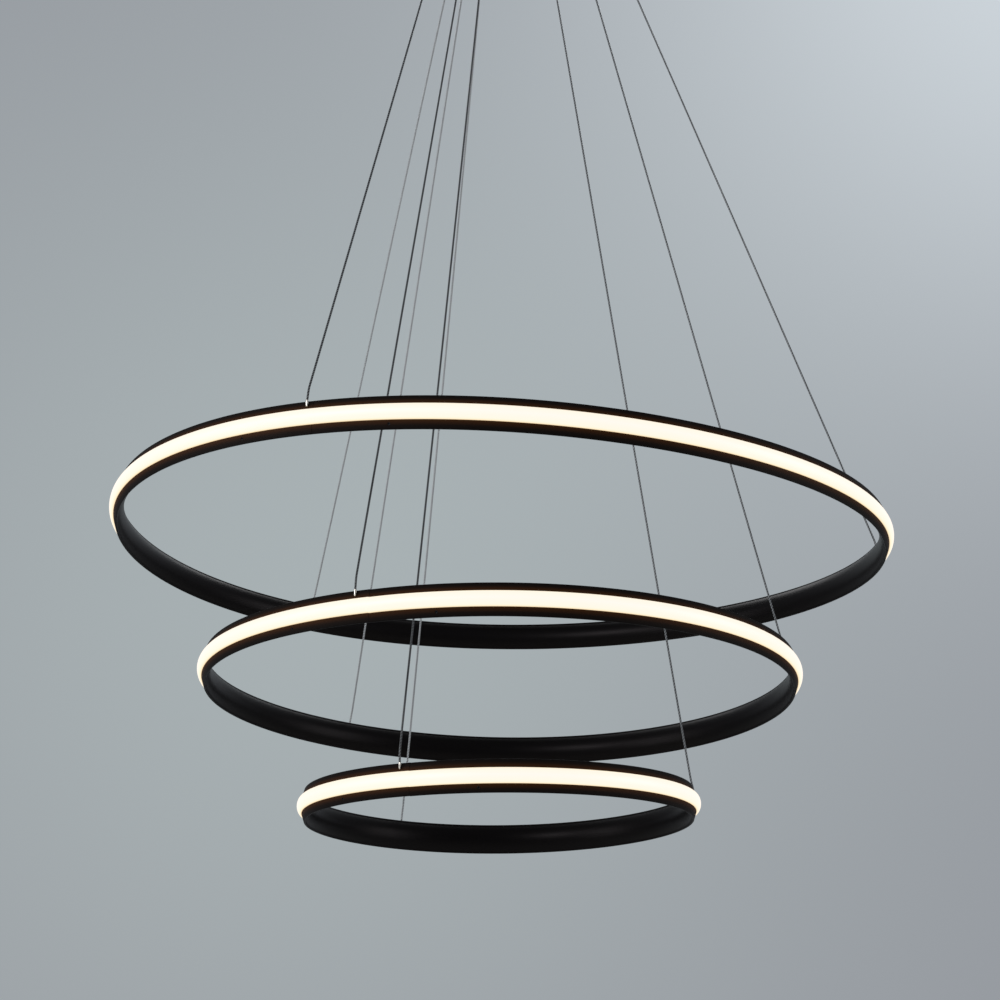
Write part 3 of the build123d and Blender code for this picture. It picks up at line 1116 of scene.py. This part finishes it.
    def build_hooks(self) -> Piece:
        """Three short sleeves on the wire's ends, each with a shank headed behind the lip."""
        axis = (self.diameter / 2 - self.lip_setback + 0.3) * MM
        pieces = []
        for angle in self.hook_angles:
            sleeve = lathe(
                "sleeve",
                scaled([
                    (0, 9.5), (0.6, 9.55), (0.9, 9.8), (1.0, 10.3), (1.12, 13.0), (1.2, 15.2),
                    (1.15, 15.5), (1.0, 15.6), (0, 15.6),
                ]),
                24,
            )
            turn = math.radians(angle)
            stand = Matrix.Rotation(turn, 4, "Z") @ Matrix.Translation((axis, 0, 0))
            move(sleeve, self.lift(turn) @ stand)
            shank = lathe(
                "shank",
                scaled([
                    (0, -3.2), (1.2, -3.2), (1.3, -3.1), (1.3, -2.0), (1.2, -1.95), (0.75, -1.95),
                    (0.75, 0.9), (0.5, 1.1), (0, 1.1),
                ]),
                20,
            )
            move(shank, self.slope_place(angle, self.hook_hole_height))
            pieces += [sleeve, shank]
        hooks = move(join(f"{self.title}_hooks", pieces), self.place)
        return self.mount(hooks, NICKEL, "wire_hooks")

    def build_joint_screws(self) -> Piece:
        """Two socket grub screws in the lower lip, one each side of the seam."""
        pieces = []
        for angle in self.screw_angles():
            screw = lathe(
                "grub",
                scaled([
                    (0, -2.1), (1.0, -2.1), (1.22, -1.9), (1.22, -0.3), (1.1, -0.2), (0, -0.2),
                ]),
                24,
            )
            cut(screw, recess(Drive.HEXAGON, 0.7, -1.2, 1.0))
            pieces.append(move(screw, self.slope_place(angle, self.joint_screw_height)))
        screws = move(join(f"{self.title}_grub_screws", pieces), self.place)
        return self.mount(screws, BLACK_OXIDE, "joint_screws")

    def build_wires(self) -> None:
        """The ring's three wires."""
        # each wire takes the copy painted lighter or darker for its place round the ring
        for number, (route, finish) in enumerate(zip(self.routes, WIRES), start=1):
            SuspensionWire(f"{self.title}_wire_{number}", self.body, route, finish).build()

    def build(self) -> None:
        """Wires first, then the ring and what it carries."""
        self.build_wires()
        self.build_bar()
        self.build_band()
        self.build_strip()
        self.build_joiner()
        self.build_hooks()
        self.build_joint_screws()


# ------------------------------------------------------------------ canopy
@dataclass
class WireGripper:
    """Turned gripper through the canopy's floor, with nut and plunger, in millimetres."""

    ring_title: str
    number: int
    distance: float
    flange_foot: float = -44.02

    @property
    def stand(self) -> Matrix:
        """Place of the gripper's axis."""
        turn = Matrix.Rotation(math.radians(120 * (self.number - 1)), 4, "Z")
        return turn @ Matrix.Translation((self.distance * MM, 0, 0))

    def build_body(self) -> Piece:
        """Barrel with grip lines and a blind bore, flange and threaded stem."""
        foot = self.flange_foot
        outline = [
            (0, foot - 1.2), (3.05, foot - 1.2), (3.05, foot - 11.8), (3.3, foot - 12.0),
            (4.6, foot - 12.0), (5.0, foot - 11.6), (5.0, foot - 10.8), (5.0, foot - 10.6),
            (5.0, foot - 2.6), (5.0, foot - 2.4), (4.8, foot - 1.9), (4.6, foot - 1.8),
            (4.6, foot - 0.3), (6.1, foot), (6.5, foot + 0.3), (6.5, foot + 1.6), (6.2, foot + 2.0),
        ]
        outline += threaded(4.0, foot + 2.0, foot + 13.0, 0.75)
        body = lathe("gripper", scaled(outline), 72)
        knurl(body, 5.0, foot - 10.7, foot - 2.5, 0.25)
        return move(body, self.stand)

    def build_nut(self) -> Piece:
        """Hexagon nut with chamfered corners."""
        foot, top, corner = -40.78, -37.78, 7.5
        flat = corner * math.cos(math.pi / 6)
        rise = [(flat + (corner - flat) * k / 5, 0.1 + 0.5 * k / 5) for k in range(6)]
        outline = [(4.05, foot), (flat - 0.2, foot)] + [(r, foot + z) for r, z in rise]
        outline += [(r, top - z) for r, z in reversed(rise)] + [(flat - 0.2, top), (4.05, top)]
        nut = lathe("nut", scaled(outline + outline[:1]), 72)
        for vertex in nut.data.vertices:
            out = Vector(vertex.co[:2]).length
            turn = math.atan2(vertex.co.y, vertex.co.x) % (math.pi / 3) - math.pi / 6
            share = min(1.0, flat * MM / math.cos(turn) / out) if out > 5 * MM else 1.0
            vertex.co.x, vertex.co.y = vertex.co.x * share, vertex.co.y * share
        nut.data.set_sharp_from_angle(angle=math.radians(25))
        return move(nut, self.stand)

    def build_plunger(self) -> Piece:
        """Release plunger, which rides on its own slide."""
        outline = [
            (0, -63.02), (1.25, -63.02), (1.6, -62.85), (1.7, -62.5), (1.7, -60.2), (1.8, -60.02),
            (2.6, -60.02), (2.9, -59.9), (3.0, -59.6), (3.0, -56.9), (2.85, -56.8), (2.85, -56.5),
            (3.0, -56.4), (3.0, -48.3), (2.8, -48.02), (0, -48.02),
        ]
        node = f"{self.ring_title}_plunger_{self.number}"
        plunger = move(lathe(f"{node}_turned", scaled(outline), 40), self.stand)
        return fit(plunger, NICKEL, node, f"{self.ring_title}_release_{self.number}")


@dataclass
class LedDriver:
    """White moulded driver with a screwed foot at each end. Sizes are in millimetres."""

    title: str
    middle: float
    length: float = 138.0
    width: float = 44.0
    height: float = 22.0
    seat_drop: float = 2.02  # the bracket's sheet and the gap below it

    def build(self) -> Piece:
        """Lid and base with a parting groove, a sunk panel, wire mouths and feet."""
        top = -self.seat_drop
        foot = top - self.height
        lid = slab("lid", rectangle(self.length, self.width, 3.5), foot, foot + 14.0)
        panel = rectangle(self.length - 34, self.width - 12, 2.0)
        cut(lid, slab("panel", panel, foot - 1, foot + 0.5))
        for end in (-1, 1):
            for side in (-1, 1):
                mouth = slab("mouth", rectangle(6.0, 9.0, 2.0), -4.0, 4.0)
                move(mouth, Matrix.Rotation(math.pi / 2, 4, "Y"))
                place = (end * self.length / 2 * MM, side * 9 * MM, (foot + 8.5) * MM)
                cut(lid, move(mouth, Matrix.Translation(place)))
            for rib in range(5):
                slot = slab("vent", rectangle(1.2, 24.0, 0.5), foot - 1, foot + 0.8)
                cut(lid, move(slot, Matrix.Translation((end * (54.5 + 2.4 * rib) * MM, 0, 0))))
        core = rectangle(self.length - 1.2, self.width - 1.2, 3.0)
        base = slab("base", rectangle(self.length, self.width, 3.5), foot + 14.3, top)
        parts = [
            eased(lid, 1.0 * MM, 3),
            slab("core", core, foot + 13.8, top - 7.6),
            eased(base, 0.4 * MM),
        ]
        for end in (-1, 1):
            hole = circle(1.95, sides=24)
            ear = slab("ear", rectangle(12.0, 38.0, 2.5), top - 3.0, top, [hole])
            eased(ear, 0.3 * MM)
            place = (end * (self.length / 2 + 4.5) - end * 1.5) * MM
            parts.append(move(ear, Matrix.Translation((place, 0, 0))))
        driver = join(f"{self.title}_case", parts)
        move(driver, Matrix.Translation((0, self.middle * MM, 0)))
        driver.data.set_sharp_from_angle(angle=math.radians(SHARP))
        return fit(driver, DRIVER_CASE, self.title, "canopy")


@dataclass
class Canopy:
    """Ceiling cup with its bracket, drivers and terminals. Sizes are in millimetres."""

    radius: float = 140.0
    height: float = 42.0
    wall: float = 1.2
    edge: float = 2.0
    ceiling_gap: float = 1.0
    tab_place: float = 137.57
    bar_width: float = 32.0
    sheet: float = 2.0
    screw_drop: float = 14.0  # of the side screws, below the ceiling
    seat_gap: float = 0.02
    cable_place: float = 34.0
    terminal_place: float = 111.0
    earth_place: float = -106.0
    terminal_pitch: float = 8.0
    foot_x: float = 73.5  # of the drivers' screws
    foot_y: float = 42.0

    def fit(self, piece: Piece, finish: Finish, part: str) -> Piece:
        """Fits a piece to the canopy, for a part of its CAD."""
        return fit(piece, finish, part, "canopy")

    def build_cup(self) -> Piece:
        """Spun cup, open to the ceiling, with a rounded lower edge and a rolled rim."""
        foot, top = -self.height, -self.ceiling_gap
        inner = self.radius - self.wall
        floor, steps = foot + self.wall, 8
        outside = rounded([
            (0, foot, 0), (self.radius, foot, self.edge), (self.radius, top, 0.5),
            (inner, top, 0.5),
        ], steps)
        inside = rounded(
            [(inner, top - 0.6, 0), (inner, floor, self.edge), (0, floor, 0)], steps
        )
        cup = lathe("canopy_spun_cup", scaled(outside[:-1] + inside), 160)
        return self.fit(cup, CANOPY_PAINT, "canopy_cup")

    def build_bracket(self) -> Piece:
        """Pressed plate with wings, slots and two bent tabs."""
        x, y = 79.0, 65.0
        side = self.bar_width / 2
        quarter = [(120.0, side, 0.0), (x, side, 3.0), (x, y, 5.0)]
        corners = quarter + [(-cx, cy, r) for cx, cy, r in reversed(quarter)]
        corners += [(-cx, -cy, r) for cx, cy, r in quarter]
        corners += [(cx, -cy, r) for cx, cy, r in reversed(quarter)]
        half = self.terminal_pitch / 2
        holes = [circle(6.0, (self.cable_place, 0.0)), circle(2.1, (self.earth_place, 0.0), 24)]
        holes += [circle(1.35, (self.terminal_place, side_y), 20) for side_y in (-half, half)]
        holes += [
            circle(1.85, (ex * self.foot_x, ey * self.foot_y), 24) for ex in (-1, 1) for ey in (-1, 1)
        ]
        for end in (-1, 1):
            slot = rectangle(25.0, 5.5, 2.7)
            holes.append([(sx + 75.0 * end, sy) for sx, sy in slot])
        plate = slab("plate", rounded(corners, closed=True), -self.sheet, 0.0, holes)
        for end in (-1, 1):
            outline = rounded([
                (110.0, 0.0, 0.0), (self.tab_place, 0.0, 3.0), (self.tab_place, -24.0, 0.0),
                (self.tab_place - self.sheet, -24.0, 0.0),
                (self.tab_place - self.sheet, -self.sheet, 1.0), (110.0, -self.sheet, 0.0),
            ], 6)
            tab = move(slab("tab", outline, -side, side), Matrix.Rotation(math.pi / 2, 4, "X"))
            face = rounded([(-30, side, 0), (24.0, side, 6.0), (24.0, -side, 6.0), (-30, -side, 0)])
            trim = move(slab("trim", face, 100.0, 150.0), Matrix.Rotation(math.pi / 2, 4, "Y"))
            cut(tab, trim, "INTERSECT")
            hole = slab("hole", circle(2.1, (14.0, 0.0), 24), 130.0, 145.0)
            cut(tab, move(hole, Matrix.Rotation(math.pi / 2, 4, "Y")))
            if end < 0:
                move(tab, Matrix.Rotation(math.pi, 4, "Z"))
            cut(plate, tab, "UNION")
        eased(plate, 0.25 * MM)
        plate.name = "pressed_bracket"
        return self.fit(plate, ZINC, "mounting_bracket")

    def build_terminals(self) -> None:
        """Three-pole nylon block, its screws and the earth screw."""
        notch = [(8.5, 3.0, 0.4), (7.0, 3.4, 0.0), (7.0, 4.6, 0.0), (8.5, 5.0, 0.4)]
        pitch, half = self.terminal_pitch, self.terminal_pitch / 2
        lower = [(cx, cy - pitch, r) for cx, cy, r in notch]
        right = [(8.5, -14.0, 1.0), *lower, *notch, (8.5, 14.0, 1.0)]
        corners = right + [(-cx, -cy, r) for cx, cy, r in right]
        block = slab("block", rounded(corners, closed=True), -16.02, -2.02)
        for pole in (-pitch, 0.0, pitch):
            bore = slab("bore", circle(1.9, (10.02, pole), 24), -12.0, 12.0)
            cut(block, move(bore, Matrix.Rotation(math.pi / 2, 4, "Y")))
            cut(block, slab("well", circle(2.2, (0.0, pole), 24), -17.0, -13.5))
        for y in (-half, half):
            cut(block, slab("hole", circle(1.35, (0.0, y), 20), -17.0, -1.0))
        eased(block, 0.35 * MM)
        block.name = "three_pole_terminal"
        move(block, Matrix.Translation((self.terminal_place * MM, 0, 0)))
        small = PanScrew(1.25, 1.9, 1.2, 14.0, Drive.SLOT, 0.5)
        pair = [small.build(self.terminal_place, y) for y in (-half, half)]
        screws = join("terminal_pan_screws", pair)
        earth = PanScrew(2.0, 4.0, 3.0, 0.0, Drive.CROSS).build(self.earth_place, 0.0)
        earth.name = "earth_pan_screw"
        self.fit(block, TERMINAL_NYLON, "terminal_block")
        self.fit(screws, ZINC, "terminal_screws")
        self.fit(earth, ZINC, "earth_screw")

    def build_drivers(self) -> None:
        """Two drivers and their four screws."""
        kind = PanScrew(1.75, 3.4, 2.2, 3.0, Drive.CROSS)
        screws = [
            kind.build(ex * self.foot_x, ey * self.foot_y) for ey in (-1, 1) for ex in (-1, 1)
        ]
        LedDriver("led_driver_front", -self.foot_y).build()
        LedDriver("led_driver_back", self.foot_y).build()
        self.fit(join("driver_pan_screws", screws), ZINC, "driver_screws")

    def build_bush(self) -> Piece:
        """Rubber bush round the supply cable's hole."""
        outline = [
            (4.0, -3.35), (4.25, -3.6), (7.6, -3.6), (8.0, -3.25), (8.0, -2.35), (7.75, -2.03),
            (5.95, -2.02), (5.95, -0.25), (5.7, 0.0), (4.2, 0.0), (4.0, -0.2), (4.0, -3.35),
        ]
        bush = lathe("moulded_bush", scaled(outline), 48)
        move(bush, Matrix.Translation((self.cable_place * MM, 0, 0)))
        return self.fit(bush, RUBBER, "cable_bush")

    def build_side_screws(self) -> Piece:
        """Two thumb screws that hold the cup to the bracket's tabs."""
        outline = [
            (0, -3.7), (2.6, -3.7), (2.8, -4.0), (4.4, -4.0), (4.85, -3.75), (5.0, -3.4),
            (5.0, -3.3), (5.0, -0.7), (5.0, -0.6), (4.8, -0.2), (4.4, 0.0),
        ]
        inwards = Matrix.Rotation(-math.pi / 2, 4, "Y")
        place = ((self.radius + self.seat_gap) * MM, 0, -self.screw_drop * MM)
        screws = []
        for angle in (0, 180):
            screw = lathe("thumb_screw", scaled(outline + threaded(2.0, 0.0, 9.0, 0.7)), 60)
            knurl(screw, 5.0, -3.35, -0.65, 0.3)
            move(screw, Matrix.Translation(place) @ inwards)
            screws.append(move(screw, Matrix.Rotation(math.radians(angle), 4, "Z")))
        return self.fit(join("knurled_side_screws", screws), NICKEL, "canopy_side_screws")

    def build_grippers(self) -> None:
        """Nine grippers, three for each ring."""
        grippers = [
            WireGripper(title, number, distance)
            for title, distance in (("large", 113.0), ("medium", 78.0), ("small", 42.0))
            for number in (1, 2, 3)
        ]
        bodies = join("turned_grippers", [gripper.build_body() for gripper in grippers])
        nuts = join("hexagon_nuts", [gripper.build_nut() for gripper in grippers])
        for gripper in grippers:
            gripper.build_plunger()
        self.fit(bodies, NICKEL, "gripper_bodies")
        self.fit(nuts, NICKEL, "gripper_nuts")

    def build(self) -> None:
        """The cup, then what it holds."""
        self.build_cup()
        self.build_side_screws()
        self.build_bracket()
        self.build_drivers()
        self.build_terminals()
        self.build_bush()
        self.build_grippers()


# ------------------------------------------------------------------ camera and studio
@dataclass
class Viewpoint:
    """The camera, where the photograph's was."""

    place: Point = (-0.08696, -2.01234, -1.42039)
    yaw: float = 0.04273
    pitch: float = 0.31104
    roll: float = 0.00644
    lens: float = 73.08

    def axes(self) -> tuple[Vector, Vector, Vector]:
        """The picture's right and up, and the way the camera looks."""
        ahead = Vector((
            math.sin(self.yaw) * math.cos(self.pitch),
            math.cos(self.yaw) * math.cos(self.pitch),
            math.sin(self.pitch),
        ))
        level = Vector((math.cos(self.yaw), -math.sin(self.yaw), 0))
        upright = level.cross(ahead)
        right = level * math.cos(self.roll) + upright * math.sin(self.roll)
        return right, upright * math.cos(self.roll) - level * math.sin(self.roll), ahead

    def build(self) -> Piece:
        """Makes the camera the scene's own."""
        data = bpy.data.cameras.new("photo_camera")
        data.lens, data.sensor_width = self.lens, 36.0
        data.clip_start, data.clip_end = 0.05, 60.0
        camera = bpy.data.objects.new("photo_camera", data)
        right, up, ahead = self.axes()
        turned = Matrix((right, up, -ahead)).transposed().to_4x4()
        camera.matrix_world = Matrix.Translation(self.place) @ turned
        bpy.context.scene.collection.objects.link(camera)
        bpy.context.scene.camera = camera
        return camera


@dataclass
class Glow:
    """One soft patch of light on the backdrop: the way to it, and its linear colour."""

    towards: Point
    colour: tuple[float, float, float]
    narrowness: float


@dataclass
class Softbox:
    """One area lamp."""

    name: str
    place: Point
    size: Flat
    power: float
    aim: Point = (0.0, 0.0, -0.9)
    colour: str = "ffffff"

    def build(self) -> Piece:
        """Hangs the lamp and turns it to its aim."""
        data = bpy.data.lights.new(self.name, "AREA")
        data.shape, data.size, data.size_y = "RECTANGLE", *self.size
        data.energy, data.color = self.power, linear(self.colour)[:3]
        lamp = bpy.data.objects.new(self.name, data)
        lamp.location = self.place
        ahead = Vector(self.aim) - Vector(self.place)
        lamp.rotation_euler = ahead.to_track_quat("-Z", "Y").to_euler()
        bpy.context.scene.collection.objects.link(lamp)
        return lamp


@dataclass
class Studio:
    """Wide plain floor, grey backdrop with three soft glows, and four softboxes."""

    floor_height: float = -2.6
    floor_radius: float = 9.0
    floor_sides: int = 64
    fade: Flat = (4.0, 8.5)  # where the floor starts and ends to fade, from its middle
    base: tuple[float, float, float] = (0.290, 0.305, 0.335)
    fill: float = 0.35
    glows: list[Glow] = field(default_factory=lambda: [
        Glow((0.3118, 0.7655, 0.5628), (0.3421, 0.3800, 0.3959), 36.32),
        Glow((-0.0402, 0.9582, 0.2833), (0.0788, 0.1083, 0.0957), 28.23),
        Glow((-0.1729, 0.9842, 0.0389), (0.0273, 0.0306, 0.0253), 12.60),
    ])
    lamps: list[Softbox] = field(default_factory=lambda: [
        Softbox("top_softbox", (0.0, 2.0, 1.7), (2.4, 1.6), 36.0),
        Softbox("left_softbox", (-3.2, -0.8, -0.6), (1.4, 2.2), 36.0),
        Softbox("right_softbox", (3.2, -0.8, -0.6), (1.4, 2.2), 36.0),
        Softbox("front_softbox", (-1.7, -2.0, -0.2), (0.9, 0.6), 24.0),
    ])

    def build_backdrop(self) -> None:
        """The world: the backdrop to camera, gloss and glass, a plain fill to the rest."""
        world = bpy.data.worlds.new("studio_backdrop")
        bpy.context.scene.world = world
        tree = empty_tree(world)
        towards = add_node(tree, "TexCoord", output="Generated")
        shade = add_node(tree, "CombineColor", dict(enumerate(self.base)))
        for glow in self.glows:
            pair = {0: towards, 1: glow.towards}
            facing = add_node(tree, "VectorMath", pair, "Value", operation="DOT_PRODUCT")
            narrow = {0: facing, 1: glow.narrowness, 2: -glow.narrowness}
            fall = add_node(tree, "Math", narrow, operation="MULTIPLY_ADD")
            amount = add_node(tree, "Math", {0: fall}, operation="EXPONENT")
            colour = {0: glow.colour, "Scale": amount}
            light = add_node(tree, "VectorMath", colour, operation="SCALE")
            shade = add_node(tree, "VectorMath", {0: shade, 1: light}, operation="ADD")
        seen = add_node(tree, "LightPath", output="Is Camera Ray")
        for name in ("Is Glossy Ray", "Is Transmission Ray"):
            ray = add_node(tree, "LightPath", output=name)
            seen = add_node(tree, "Math", {0: seen, 1: ray}, operation="MAXIMUM")
        backdrop = add_node(tree, "Background", {"Color": shade})
        fill = add_node(tree, "Background", {"Color": linear("ffffff"), "Strength": self.fill})
        mix = add_node(tree, "MixShader", {0: seen, 1: fill, 2: backdrop})
        add_node(tree, "OutputWorld", {"Surface": mix})

    def build_floor(self) -> Piece:
        """A wide pale floor that fades into the backdrop."""
        rim = circle(self.floor_radius, sides=self.floor_sides)
        points = [(x, y, self.floor_height) for x, y in [(0.0, 0.0), *rim]]
        faces = [(0, 1 + k, 1 + (k + 1) % len(rim)) for k in range(len(rim))]
        floor = make_piece("studio_floor", points, faces)
        material = bpy.data.materials.new("matt_paper_floor")
        tree = empty_tree(material)
        where = add_node(tree, "TexCoord", output="Object")
        out = add_node(tree, "VectorMath", {0: where}, "Value", operation="LENGTH")
        reach = {"Value": out, "From Min": self.fade[0], "From Max": self.fade[1]}
        fade = add_node(tree, "MapRange", reach, interpolation_type="SMOOTHSTEP")
        look = {"Base Color": linear("dfe2e3"), "Roughness": 0.9}
        paper = add_node(tree, "BsdfPrincipled", look)
        clear = add_node(tree, "BsdfTransparent")
        mix = add_node(tree, "MixShader", {0: fade, 1: paper, 2: clear})
        add_node(tree, "OutputMaterial", {"Surface": mix})
        floor.data.materials.append(material)
        return floor

    def build(self) -> None:
        """Backdrop, floor and lamps, with the plain view transform."""
        bpy.context.scene.view_settings.view_transform = "Standard"
        self.build_backdrop()
        self.build_floor()
        for lamp in self.lamps:
            lamp.build()


# ------------------------------------------------------------------ the chandelier
# The way of each wire, in metres: gripper, straight out of it, the slant, straight into the hook.
LARGE_ROUTES = [
    [
        (0.1130, 0.0000, -0.0630), (0.1138, 0.0000, -0.0750), (0.1194, 0.0002, -0.0862),
        (0.3912, 0.0143, -0.7976), (0.3957, 0.0145, -0.8088), (0.3957, 0.0145, -0.8158),
    ],
    [
        (-0.0565, 0.0979, -0.0630), (-0.0574, 0.0979, -0.0750), (-0.0612, 0.1015, -0.0862),
        (-0.2052, 0.3315, -0.7831), (-0.2084, 0.3352, -0.7943), (-0.2099, 0.3352, -0.8053),
    ],
    [
        (-0.0565, -0.0979, -0.0630), (-0.0553, -0.0979, -0.0750), (-0.0555, -0.1018, -0.0862),
        (-0.1816, -0.3458, -0.7768), (-0.1839, -0.3498, -0.7880), (-0.1846, -0.3497, -0.7999),
    ],
]
MEDIUM_ROUTES = [
    [
        (0.0780, 0.0000, -0.0630), (0.0788, 0.0000, -0.0750), (0.0831, 0.0001, -0.0866),
        (0.2963, 0.0110, -0.9363), (0.2995, 0.0112, -0.9480), (0.2996, 0.0109, -0.9560),
    ],
    [
        (-0.0390, 0.0675, -0.0630), (-0.0391, 0.0675, -0.0750), (-0.0409, 0.0700, -0.0866),
        (-0.1551, 0.2524, -0.9408), (-0.1574, 0.2549, -0.9524), (-0.1587, 0.2545, -0.9624),
    ],
    [
        (-0.0390, -0.0675, -0.0630), (-0.0374, -0.0675, -0.0750), (-0.0363, -0.0702, -0.0866),
        (-0.1392, -0.2610, -0.9241), (-0.1405, -0.2637, -0.9357), (-0.1406, -0.2640, -0.9467),
    ],
]
SMALL_ROUTES = [
    [
        (0.0420, 0.0000, -0.0630), (0.0433, 0.0000, -0.0750), (0.0472, 0.0000, -0.0869),
        (0.1910, -0.0002, -1.0579), (0.1938, -0.0003, -1.0698), (0.1955, -0.0003, -1.0788),
    ],
    [
        (-0.0210, 0.0364, -0.0630), (-0.0210, 0.0364, -0.0750), (-0.0220, 0.0380, -0.0869),
        (-0.0954, 0.1681, -1.0630), (-0.0969, 0.1697, -1.0749), (-0.0977, 0.1697, -1.0849),
    ],
    [
        (-0.0210, -0.0364, -0.0630), (-0.0202, -0.0364, -0.0750), (-0.0200, -0.0380, -0.0869),
        (-0.0979, -0.1677, -1.0610), (-0.0987, -0.1692, -1.0728), (-0.0983, -0.1693, -1.0838),
    ],
]
RINGS = [
    LitRing(
        "large", diameter=800.0, drop=820.0, tilt_x=0.1, tilt_y=1.7, turn=2.1,
        bow=(2.6, 4.4), seam_angle=240.8, seam_step=0.0, routes=LARGE_ROUTES,
    ),
    LitRing(
        "medium", diameter=608.0, drop=968.0, tilt_x=-2.0, tilt_y=0.4, turn=2.0,
        bow=(1.6, -1.2), seam_angle=242.6, seam_step=0.3, routes=MEDIUM_ROUTES,
    ),
    LitRing(
        "small", diameter=400.0, drop=1095.5, tilt_x=-0.2, tilt_y=-0.7, turn=-0.1,
        bow=(1.3, -0.1), seam_angle=242.7, seam_step=0.2, routes=SMALL_ROUTES,
    ),
]


def main() -> None:
    """Builds the camera and the studio, then the chandelier, from the wires on."""
    logging.basicConfig(level=logging.INFO, format="%(message)s")
    Viewpoint().build()
    for ring in RINGS:
        ring.build()
    Canopy().build()
    Studio().build()


if __name__ == "__main__":
    main()
